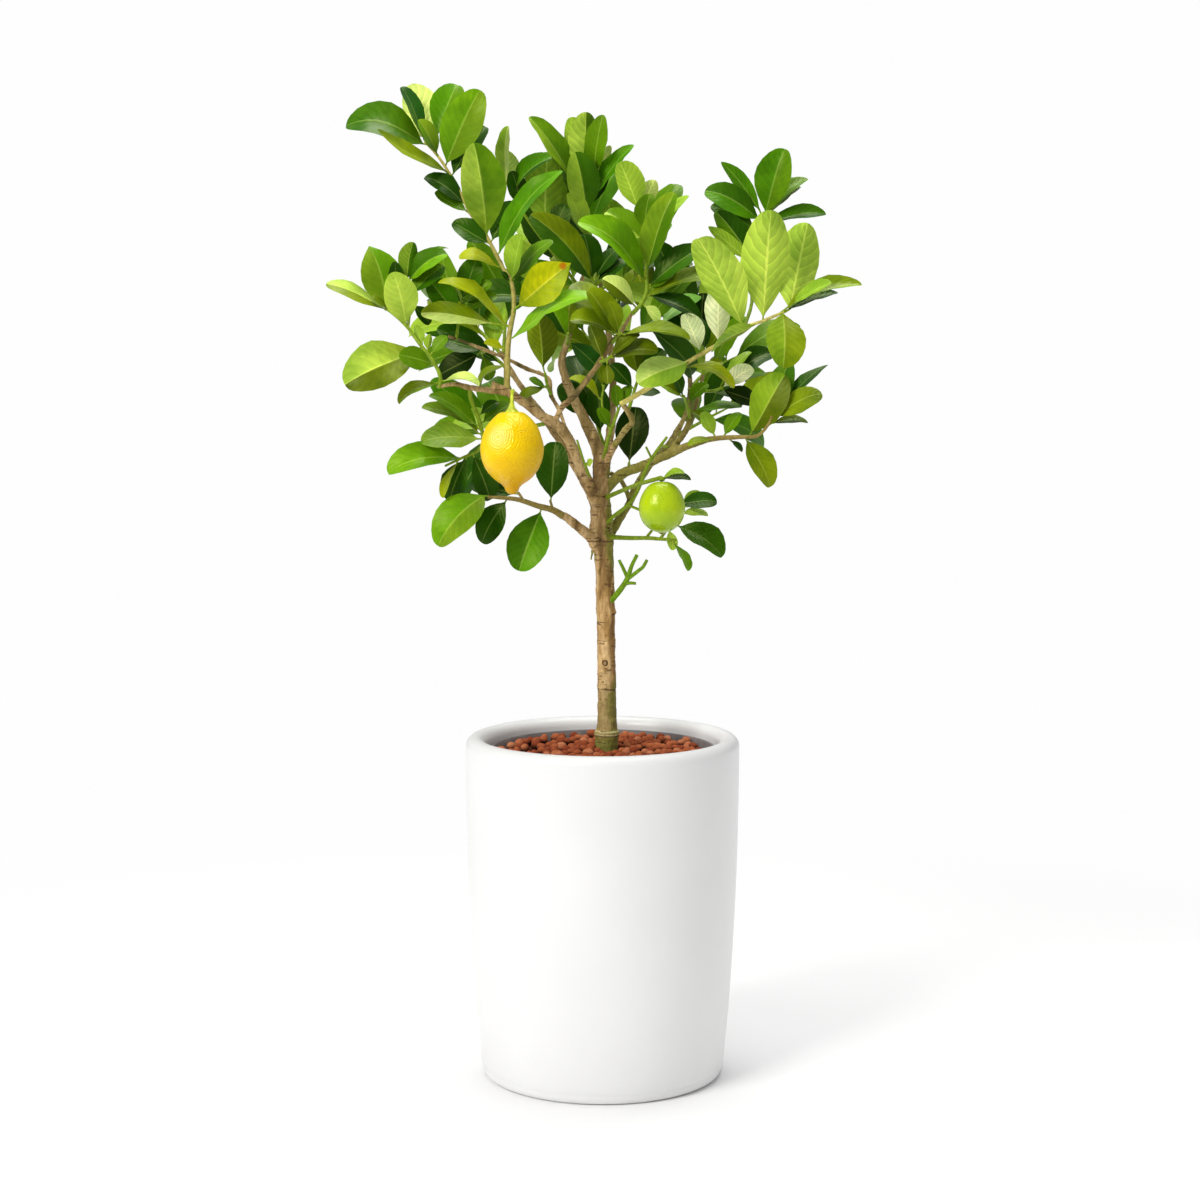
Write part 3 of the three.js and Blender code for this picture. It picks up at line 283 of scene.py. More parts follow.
def pick(first, *others):
    """Selects these pieces and nothing else, with the first as the active one."""
    bpy.ops.object.select_all(action="DESELECT")
    for piece in (first, *others):
        piece.select_set(True)
    bpy.context.view_layer.objects.active = first


def add_disc(name, radius, height, sides):
    bpy.ops.object.select_all(action="DESELECT")
    bpy.ops.mesh.primitive_circle_add(vertices=sides, radius=radius, fill_type="NGON",
                                      location=(0, 0, height))
    disc = bpy.context.active_object
    disc.name = name
    return disc


def turned(name, profile, sides):
    """A closed body of revolution, drawn up ring by ring from the middle of its bottom."""
    (radius, height), *rest = profile
    piece = add_disc(name, radius, height, sides)
    bpy.ops.object.mode_set(mode="EDIT")
    for wider, higher in rest:
        bpy.ops.mesh.extrude_region_move(TRANSFORM_OT_translate={"value": (0, 0, higher - height)})
        bpy.ops.transform.resize(value=(wider / radius, wider / radius, 1), center_override=(0, 0, higher))
        radius, height = wider, higher
    bpy.ops.mesh.select_all(action="SELECT")
    bpy.ops.mesh.normals_make_consistent(inside=False)
    bpy.ops.object.mode_set(mode="OBJECT")
    bpy.ops.object.transform_apply(location=True, rotation=True, scale=True)
    return piece


def arc(radius, height, bend, start, end, steps):
    """Points of a profile round a bend of its own radius, between two angles in degrees."""
    angles = [math.radians(start + (end - start) * i / steps) for i in range(steps + 1)]
    return [(radius + bend * math.cos(a), height + bend * math.sin(a)) for a in angles]


def smooth(piece, degrees):
    pick(piece)
    bpy.ops.object.shade_smooth_by_angle(angle=math.radians(degrees))


def coat(piece, finish):
    piece.data.materials.clear()
    piece.data.materials.append(finish.material)


def settle(piece, node, finish=None):
    """Puts a finished piece in place of its frame node, and gives it its finish if it wears none yet."""
    if finish:
        coat(piece, finish)
    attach(piece, "root")
    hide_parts(node)
    slot_of[node]


planter = turned("white_planter", [
    *UNDER_FOOT, *arc(FOOT_RING, FOOT_CORNER, FOOT_CORNER, -75, -12, 5), *ABOVE_FOOT, *PLANTER_WALL,
    *arc(RIM_CREST, RIM_MIDDLE, RIM_TUBE, 0, 180, 16), *PLANTER_LINING], 144)
smooth(planter, 38)
glaze = Finish("white_satin_glaze", coat_weight=0.12, coat_roughness=0.2)
cloud = glaze.noise(9, detail=3.0)
glaze.surface(base_color=glaze.ramp(cloud, (0.3, paint(235, 235, 235)), (0.7, paint(239, 239, 239))),
              roughness=cloud.band(0.3, 0.7, 0.3, 0.38))
glaze.bump(glaze.noise(260, detail=1.0) * 0.35 + glaze.noise(14), 0.0007, 0.35)
settle(planter, "planter", glaze)

# ---------------------------------------------------------------- floor
# The plain pale floor of the studio. It shows the planter's shadow near by, and farther off it glows as
# white as the room. It is the stage and no piece of the object.

FLOOR_RADIUS = 4.0
FLOOR_Z = -0.0002
FLOOR_SHADED, FLOOR_PLAIN = 0.45, 1.3  # how far from the planter its shadow shows, and from where none does
floor = add_disc("floor", FLOOR_RADIUS, FLOOR_Z, 96)
pale = Finish("pale_floor", base_color=paint(250, 250, 250), roughness=0.85)
glow = pale.node("ShaderNodeEmission", None, {"Color": BACKDROP})
away = pale.node("ShaderNodeVectorMath", {"operation": "LENGTH"}, {"Vector": pale.here()}, "Value")
lit = pale.node("ShaderNodeMixShader", None, {
    0: away.band(FLOOR_SHADED, FLOOR_PLAIN), 1: Value(pale, pale.shader.outputs[0]), 2: glow})
pale.set(pale.tree.nodes["Material Output"], {"Surface": lit})
coat(floor, pale)
floor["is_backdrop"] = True

# ---------------------------------------------------------------- grow pot
# The thin dark plastic liner that the tree grows in. It stands in the planter, and its turned lip shows as
# a dark line under the rolled rim, a little scuffed and dusty from the clay.

LINER_BOTTOM, LINER_TOP = (corner.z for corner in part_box("grow_pot"))
LINER_WALL = 0.002
liner = turned("grow_pot_liner", [
    (0.02, LINER_BOTTOM), (0.097, LINER_BOTTOM), (0.1103, LINER_TOP - 0.0095), (0.1134, LINER_TOP - 0.009),
    (0.1135, LINER_TOP - 0.0012), (0.1128, LINER_TOP), (0.1108, LINER_TOP), (0.1097, LINER_TOP - 0.001),
    (0.1082, LINER_TOP - 0.012), (0.0955, LINER_BOTTOM + LINER_WALL), (0.02, LINER_BOTTOM + LINER_WALL)], 96)
smooth(liner, 40)
plastic = Finish("dark_grow_pot_plastic")
dust = plastic.noise(70, detail=5.0, stretch=(1, 1, 0.4))
dusty = plastic.ramp(dust, (0.35, paint(96, 90, 90)), (0.6, paint(122, 112, 110)),
                     (0.75, paint(150, 122, 106)))
plastic.surface(base_color=dusty, roughness=dust.band(0.3, 0.7, 0.45, 0.75))
plastic.bump(plastic.noise(400, stretch=(1, 1, 0.1)), 0.0003, 0.4)
settle(liner, "grow_pot", plastic)

# ---------------------------------------------------------------- clay granules
# Reddish brown balls of fired clay, uneven in size and shape, heaped over the root ball up to the trunk.
# The filled body under them is the same clay and soil. The underside of each ball, the granules that lie low
# and the body under them are darkened to nearly black as painted shade.

GRANULE_PITCH = 0.0122
ROW_PITCH = 0.866 * GRANULE_PITCH
GRANULE_RADIUS = (0.0052, 0.0065)
GRANULE_KINDS = 5
FLATTENED = ((0.75, 1.0), (0.7, 0.9))  # its two smaller radii, as shares of the greatest
STRAY = 0.0012  # how far a granule lies from its place in the row
TIERS = ((-0.0078, 1.0), (0.0, 0.86))  # how high a tier lies, and the share of its places that are filled
TIER_SHIFT = (0.5, 0.4)  # how far the upper tier is moved along the rows and across them, in pitches
BED_TOP = 0.3284
SOIL_TOP = 0.3205
BED_BOTTOM = LINER_BOTTOM + 0.003
BED_RADIUS = 0.1076
HEAP = 0.0022  # how much higher the middle of the heap is than its edge
TRUNK_ROOM = 0.0108
DEEP, BARE = BED_TOP - 0.0065, BED_TOP + 0.001  # the heights where granules lie in shade, and where in light
FOOT_U, FOOT_V = 606, 751  # where the picture shows the trunk enter the granules
trunk_foot = on_route((FOOT_U, FOOT_V, 0))


def gather(name, copies):
    """One mesh from copies of modelled shapes. Each copy is its points, its faces, a tint for each face, and
    the places of its points on the pattern that its material follows."""
    points, faces, tints, marks = [], [], [], []
    for shape, around, tint, mark in copies:
        first = len(points)
        points.extend(shape)
        marks.extend(mark)
        for face, colour in zip(around, tint):
            faces.append([first + corner for corner in face])
            tints.extend([colour] * len(face))
    mesh = bpy.data.meshes.new(name)
    mesh.from_pydata(points, [], faces)
    mesh.color_attributes.new("tint", "FLOAT_COLOR", "CORNER").data.foreach_set("color", np.ravel(tints))
    corners = np.zeros(len(mesh.loops), int)
    mesh.loops.foreach_get("vertex_index", corners)
    mesh.uv_layers.new(name="pattern").data.foreach_set("uv", np.ravel(np.array(marks)[corners]))
    return add_object(name, mesh)


def take_shape(piece):
    """The points and faces of a modelled shape, which is then cleared away."""
    shape = [vertex.co.copy() for vertex in piece.data.vertices]
    around = [list(face.vertices) for face in piece.data.polygons]
    bpy.data.objects.remove(piece)
    return shape, around


def join_pieces(first, *others):
    pick(first, *others)
    bpy.ops.object.join()
    return first


def model_granule(seed):
    bpy.ops.object.select_all(action="DESELECT")
    bpy.ops.mesh.primitive_cube_add(size=1.4)
    granule = bpy.context.active_object
    bpy.ops.object.mode_set(mode="EDIT")
    bpy.ops.mesh.subdivide(number_cuts=2)
    bpy.ops.transform.tosphere(value=1.0)
    bpy.ops.transform.vertex_random(offset=0.07, uniform=0.4, seed=seed)
    bpy.ops.object.mode_set(mode="OBJECT")
    return take_shape(granule)


def heap_granules(draws):
    """Rows of granules in two tiers, each a copy that is turned, flattened and moved a little."""
    shapes = [model_granule(seed) for seed in range(GRANULE_KINDS)]
    rows = int(BED_RADIUS / GRANULE_PITCH) + 2
    places = [(tier, i, j) for tier in range(len(TIERS))
              for i in range(-rows, rows + 1) for j in range(-rows, rows + 1)]
    for tier, i, j in places:
        lift, share = TIERS[tier]
        x = GRANULE_PITCH * (i + (j % 2) / 2 + TIER_SHIFT[0] * tier) + draws.uniform(-STRAY, STRAY)
        y = ROW_PITCH * (j + TIER_SHIFT[1] * tier) + draws.uniform(-STRAY, STRAY)
        size = draws.uniform(*GRANULE_RADIUS)
        away = math.hypot(x, y)
        if away + size > BED_RADIUS + 0.001 or math.hypot(x - trunk_foot.x, y) < 0.7 * size + TRUNK_ROOM:
            continue
        if draws.random() > share:
            continue
        z = BED_TOP + lift + HEAP * (1 - away / BED_RADIUS) + draws.uniform(-STRAY, STRAY)
        turn = Quaternion([draws.gauss(0, 1) for _ in range(4)]).normalized().to_matrix()
        stretch = Matrix.Diagonal((size, *(size * draws.uniform(*ends) for ends in FLATTENED)))
        shape, around = shapes[draws.randrange(GRANULE_KINDS)]
        shape = [turn @ (stretch @ p) for p in shape]
        tone = draws.random()
        yield ([p + Vector((x, y, z)) for p in shape], around, [(tone, tone, tone, 1)] * len(around),
               [(0, p.z / size) for p in shape])


granules = gather("clay_granules_heap", heap_granules(random.Random(4)))
bed = turned("bed", [(0.02, BED_BOTTOM), (0.0945, BED_BOTTOM), (BED_RADIUS - 0.001, SOIL_TOP),
                     (0.02, SOIL_TOP)], 48)
join_pieces(granules, bed)
smooth(granules, 60)

clay = Finish("fired_clay", roughness=0.92, specular_ior_level=0.2)
crumbs = clay.noise(700, detail=4.0, rough=0.7)
burnt = clay.ramp(clay.tint()["Fac"] * 0.75 + crumbs * 0.3, (0.1, paint(124, 52, 28)),
                  (0.4, paint(156, 78, 44)), (0.7, paint(174, 96, 58)), (0.95, paint(198, 128, 90)))
# painted shade: the underside of each ball and what lies deep between them are darkened to nearly black
shaded = clay.pattern()["Y"].band(-0.35, 0.55).blend(paint(42, 15, 8), burnt)
clay.surface(base_color=clay.axes()["Z"].band(DEEP, BARE).blend(paint(34, 14, 8), shaded))
clay.bump(crumbs * 0.6 + clay.noise(220), 0.0006, 0.6)
settle(granules, "clay_granules", clay)

# ---------------------------------------------------------------- trunk and limbs
# One grown piece of wood: a straight trunk that swells to a knobbly collar where it was cut back, and the
# limbs that leave it there. The bark is tan with olive moss, a knot and old scars. A pale ring marks where
# it was grafted.

# Routes: u, v, layer and radius in millimetres.
TRUNK_ROUTE = [(606.5, 752, 0, 11.4), (606.5, 744, 0, 11.9), (607, 738, 0, 11.9), (607, 735, 0, 12.9),
               (607, 733.5, 0, 12.1), (607, 732, 0, 12.9), (607, 729.5, 0, 11), (607, 724, 0, 9.9),
               (607, 700, 0, 9.4), (606.5, 663, 0, 9.1), (606, 630, 0, 9.3), (605.5, 598, 0, 9.6),
               (604.5, 570, 0, 9.3), (603.5, 548, 0, 10.2), (602, 535, 0, 11), (601, 515, 0, 10.6),
               (601, 497, 0, 9.4)]
LIMBS = {
    "leader": [(602, 508, 0, 8.5), (600, 470, 2, 7.4), (598, 450, 4, 6.6), (585, 420, 8, 5.5),
        (572, 395, 12, 4.8), (563, 370, 15, 4.2), (562, 358, 16, 3.8), (567, 343, 18, 3.2),
        (572, 322, 22, 2.8), (578, 300, 28, 2.4), (583, 275, 32, 2), (586, 250, 34, 1.7)],
    "left": [(601, 508, -2, 7), (590, 488, -8, 6.2), (578, 460, -16, 5.6), (566, 435, -24, 5.4),
        (556, 424, -28, 5.2), (540, 415, -32, 4.8), (525, 403, -36, 4.4), (510, 393, -38, 4.2),
        (497, 386, -40, 3.4), (492, 382, -41, 2.4)],
    "left twig": [(507, 392, -38, 3.4), (472, 388, -44, 2.8), (455, 384, -47, 2.5), (437, 387, -50, 2.2)],
    "crossing": [(556, 420, -29, 2.6), (562, 407, -32, 2.8), (575, 395, -34, 2.9), (600, 362, -38, 2.8),
        (610, 345, -40, 2.6), (620, 333, -42, 2.4), (633, 312, -44, 2.2)],
    "pale": [(566, 431, -25, 2), (560, 412, -17, 2), (551, 395, -14, 2), (548, 378, -13, 2),
        (525, 368, -14, 1.9), (505, 358, -18, 1.8), (470, 344, -26, 1.7), (448, 336, -34, 1.5)],
    "right": [(604, 490, 0, 6.4), (622, 474, -4, 5.2), (640, 467, -8, 4.8), (660, 458, -14, 4.5),
        (685, 447, -20, 3.9), (706, 440, -27, 3.1)],
    "right fork": [(666, 456, -16, 3.4), (683, 435, -14, 3.2), (690, 420, -10, 2.8), (697, 400, -6, 2.4),
        (703, 375, -2, 2)],
    "back right": [(605, 546, 3, 5), (611, 534, 4, 4.4), (618, 521, 7, 4), (628, 506, 12, 3.8),
        (636, 487, 18, 3.8), (652, 462, 28, 3.6), (672, 440, 38, 3.2), (688, 408, 46, 2.8),
        (690, 380, 50, 2.5), (686, 352, 54, 2.2)],
    "bud": [(599, 546, -3, 1.6), (593, 551, -5, 1.3), (591, 560, -5, 0.9)],
    "back loop": [(630, 502, 13, 2.6), (626, 490, 10, 2.4), (620, 479, 6, 2.4), (610, 473, 2, 2.6)],
    "lower left": [(600, 546, -2, 5.4), (585, 532, -6, 5), (570, 520, -10, 4.4), (562, 515, -12, 3.9)],
    "zigzag": [(602, 474, -3, 4.2), (612, 450, -14, 3.4), (625, 430, -22, 3.2), (632, 422, -25, 3.2),
        (628, 412, -28, 3), (622, 403, -31, 2.8)],
    "back left": [(600, 520, 2, 6), (590, 492, 9, 5), (570, 458, 21, 4.2), (546, 420, 34, 3.6),
        (520, 385, 45, 3), (500, 352, 52, 2.4)],
    "back centre": [(602, 505, 3, 6), (606, 462, 14, 5), (612, 415, 28, 4.2), (612, 360, 41, 3.4),
        (604, 305, 49, 2.8), (596, 260, 53, 2.2)],
}
# Knots, scars and knobs: u, v, depth layer of the middle, radius and height in millimetres. A height under
# 0 is a hollow.
KNOBS = [
    (606, 663, -6, 5.5, 1.8), (606, 663, -7, 2.2, -2.6), (614, 613, -4, 4, 1.6), (600, 601, -5, 3.6, 1.2),
    (613, 721, -4, 2.6, 1.4), (594, 545, -3, 5, 3.2), (610, 541, -4, 5, 2.8), (592, 527, -2, 5, 2.4),
    (611, 520, -3, 5, 2.8), (597, 512, -5, 6, 2.0), (605, 500, -5, 5, 2.4), (593, 498, -3, 4, 1.8),
    (601, 531, -6, 3.4, 1.6), (606, 511, -6, 3, -1.4), (600, 522, -6, 3, -1.2), (613, 599, -3, 2.6, 2.2),
    (614, 612, -3, 2.4, 2.2), (612, 587, -4, 3.4, 1.6), (614, 640, -3, 2.6, 1.6), (590, 496, -3, 4.2, 2.4),
    (598, 506, -6, 3.4, 1.6), (592, 513, -4, 3, 1.6), (601, 543, -6, 5, 1.0), (598, 633, -5, 3, 1.0),
    (610, 560, -4, 3, 1.2), (600, 690, -5, 3.4, 0.9), (612, 575, -4, 3.6, 1.3), (598, 572, -4, 3, 1.0)]
# Dark eyes and scars in the bark: u, v, depth layer, radius and width of the ring in millimetres.
SCARS = [
    (605, 663, -6, 2.6, 0.9), (606, 663, -6, 0.4, 0.8), (613, 721, -4, 0.2, 1.1), (613, 614, -4, 0.8, 1.0),
    (600, 540, -5, 2.0, 0.6), (596, 516, -5, 0.3, 1.0), (600, 508, -6, 0.6, 0.7), (603, 681, -6, 1.2, 0.5),
    (599, 627, -5, 0.6, 0.6), (613, 600, -3, 0.2, 1.3), (604, 496, -6, 1.6, 0.7), (608, 528, -5, 0.8, 0.8)]
WOOD_GRAIN = 0.0011
GRAFT_LOW, GRAFT_HIGH, GRAFT_SHADE = 0.3466, 0.3497, 0.3451
COLLAR_CREASE = 0.5412
# Heights over which one look of the bark passes into the next.
FOOT_ENDS, DAMP_ENDS = (0.338, 0.352), (0.36, 0.42)
COLLAR_STARTS, LIMBS_START, MOSS_THINS = (0.48, 0.56), (0.61, 0.67), (0.60, 0.70)
BUD_SPOT = on_route((591, 557, -5))
FURROW, FLANK, RIDGE = 0.36, 0.47, 0.58  # where the moss pattern is dark, plain and light bark


def along_curve(points, share):
    """The point at a share of the way along a smooth curve through points."""
    reached = share * (len(points) - 1)
    i = min(int(reached), len(points) - 2)
    t = reached - i
    a, b = points[i], points[i + 1]
    before = points[i - 1] if i else 2 * a - b
    after = points[i + 2] if i + 2 < len(points) else 2 * b - a
    return ((2 * t ** 3 - 3 * t ** 2 + 1) * a + (t ** 3 - 2 * t ** 2 + t) * (b - before) / 2
            + (3 * t ** 2 - 2 * t ** 3) * b + (t ** 3 - t ** 2) * (after - a) / 2)


def grow_stems(name, routes, round_cuts, per_span, draws, knobbly):
    """Round stems along routes, whose girth swells and thins a little."""
    line = bpy.data.curves.new(name, "CURVE")
    line.dimensions = "3D"
    line.bevel_depth = 0.001
    line.bevel_resolution = round_cuts
    line.use_fill_caps = True
    for route in routes:
        points = [Vector((*on_route(point), point[3])) for point in route]
        steps = per_span * (len(route) - 1)
        spline = line.splines.new("POLY")
        spline.points.add(steps)
        for i, bead in enumerate(spline.points):
            x, y, z, radius = along_curve(points, i / steps)
            bead.co = (x, y, z, 1)
            bead.radius = max(radius, 0.4) * (1 + knobbly * draws.uniform(-1, 1))
    pick(add_object(name, line))
    bpy.ops.object.convert(target="MESH")
    return bpy.context.active_object


def modifier(piece, kind, **settings):
    """Adds a modifier and applies it."""
    pick(piece)
    bpy.ops.object.modifier_add(type=kind)
    made = piece.modifiers[-1]
    for name, value in settings.items():
        setattr(made, name, value)
    bpy.ops.object.modifier_apply(modifier=made.name)


def swell(piece, name, kind, grain, strength, **settings):
    """Moves the surface in and out by a pattern of a grain, in metres."""
    pattern = bpy.data.textures.new(name, kind)
    pattern.noise_scale = grain
    for key, value in settings.items():
        setattr(pattern, key, value)
    modifier(piece, "DISPLACE", texture=pattern, strength=strength, mid_level=0.5, texture_coords="LOCAL")


foot_v = FOOT_V + (trunk_foot.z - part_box("trunk")[0].z) * 1000
tree = grow_stems("trunk_and_limbs", [[(FOOT_U, foot_v, 0, 10.2)] + TRUNK_ROUTE, *LIMBS.values()], 6, 5,
                  random.Random(12), 0.035)
modifier(tree, "REMESH", mode="VOXEL", voxel_size=WOOD_GRAIN)
modifier(tree, "SMOOTH", factor=0.5, iterations=2)
swell(tree, "bark_swelling", "CLOUDS", 0.012, 0.0016)
swell(tree, "bark_grain", "CLOUDS", 0.003, 0.0007, noise_depth=3)
bark_points = np.array([vertex.co for vertex in tree.data.vertices])
bark_normals = np.array([vertex.normal for vertex in tree.data.vertices])
for u, v, layer, radius, rise in KNOBS:
    away = np.linalg.norm(bark_points - np.array(on_route((u, v, layer))), axis=1) * 1000
    bark_points += bark_normals * (rise / 1000 * np.exp(-(away / radius) ** 2))[:, None]
tree.data.vertices.foreach_set("co", bark_points.ravel())
smooth(tree, 75)

bark = Finish("tan_bark", specular_ior_level=0.3)
where = bark.axes()
height = where["Z"]
moss = bark.noise(48, detail=4.0, rough=0.62, stretch=(1, 1, 0.3), distortion=0.6)
grain = bark.noise(420, detail=4.0, rough=0.7, stretch=(1, 1, 0.3))
ragged = bark.noise(240, stretch=(0.7, 0.7, 1.4))
dashes = bark.noise(260, stretch=(0.3, 0.3, 1.7))
uneven = height + bark.noise(60, detail=1.0) * 0.0012 - 0.0006


def ridged(dark, plain, light):
    """Bark from the dark of its furrows to the light of its ridges."""
    return bark.ramp(moss, (FURROW, paint(*dark)), (FLANK, paint(*plain)), (RIDGE, paint(*light)))


def line_round(level, half, strength):
    """A mask of a thin uneven line round the trunk at a height."""
    return (uneven - level).absolute().band(*half, strength, 0.0)


trunk_bark = ridged((138, 102, 50), (190, 150, 90), (236, 200, 144))
collar_bark = ridged((126, 98, 52), (178, 144, 90), (218, 186, 134))
limb_bark = ridged((106, 92, 46), (156, 130, 78), (202, 172, 120))
skin = height.band(*COLLAR_STARTS).blend(trunk_bark, collar_bark)
skin = height.band(*LIMBS_START).blend(skin, limb_bark)
shady = (where["X"] - trunk_foot.x) * 24 + bark.noise(26, detail=3.0, stretch=(1, 1, 0.6)) * 1.3 - 0.15
skin = (shady.band(0.53, 0.61) * height.band(*MOSS_THINS, 0.9, 0.2)).blend(skin, paint(134, 134, 46))
skin = height.band(*DAMP_ENDS, 0.6, 0.0).blend(skin, paint(156, 146, 82))
skin = (height.band(*FOOT_ENDS, 1.0, 0.0) * 0.85).blend(skin, paint(134, 138, 58))
skin = line_round(GRAFT_SHADE, (0.0004, 0.0009), 0.7).blend(skin, paint(96, 78, 44))
graft = line_round(GRAFT_LOW, (0.0005, 0.0009), 0.9).maths(
    "MAXIMUM", line_round(GRAFT_HIGH, (0.0005, 0.0009), 0.8))
skin = graft.blend(skin, paint(224, 214, 158))
# painted shade: a dark line in the crease round the collar
crease = line_round(COLLAR_CREASE, (0.0005, 0.001), 0.75)
skin = crease.blend(skin, paint(96, 66, 36))
skin = bark.far_from(BUD_SPOT).band(0.0045, 0.0075, 0.9, 0.0).blend(skin, paint(150, 160, 40))
skin = dashes.band(0.61, 0.68, 0.0, 0.7).blend(skin, paint(86, 58, 30))
scarred = 0.0
for u, v, layer, radius, width in SCARS:
    edge = (bark.far_from(on_route((u, v, layer))) * 1000 + ragged * 4 - radius - 2).absolute()
    scarred = edge.band(width * 0.5, width, 0.85, 0.0).maths("MAXIMUM", scarred)
skin = scarred.blend(skin, paint(64, 42, 22))
bark.surface(base_color=grain.band(0.3, 0.75, 0.0, 0.55).blend(skin, paint(150, 126, 96), "MULTIPLY"),
             roughness=moss.band(0.3, 0.7, 0.6, 0.85))
bark.bump(grain * 0.6 + moss * 0.7 - dashes.band(0.6, 0.7) * 0.6 - crease * 0.8 - scarred * 1.2, 0.0012, 0.9)
settle(tree, "trunk", bark)
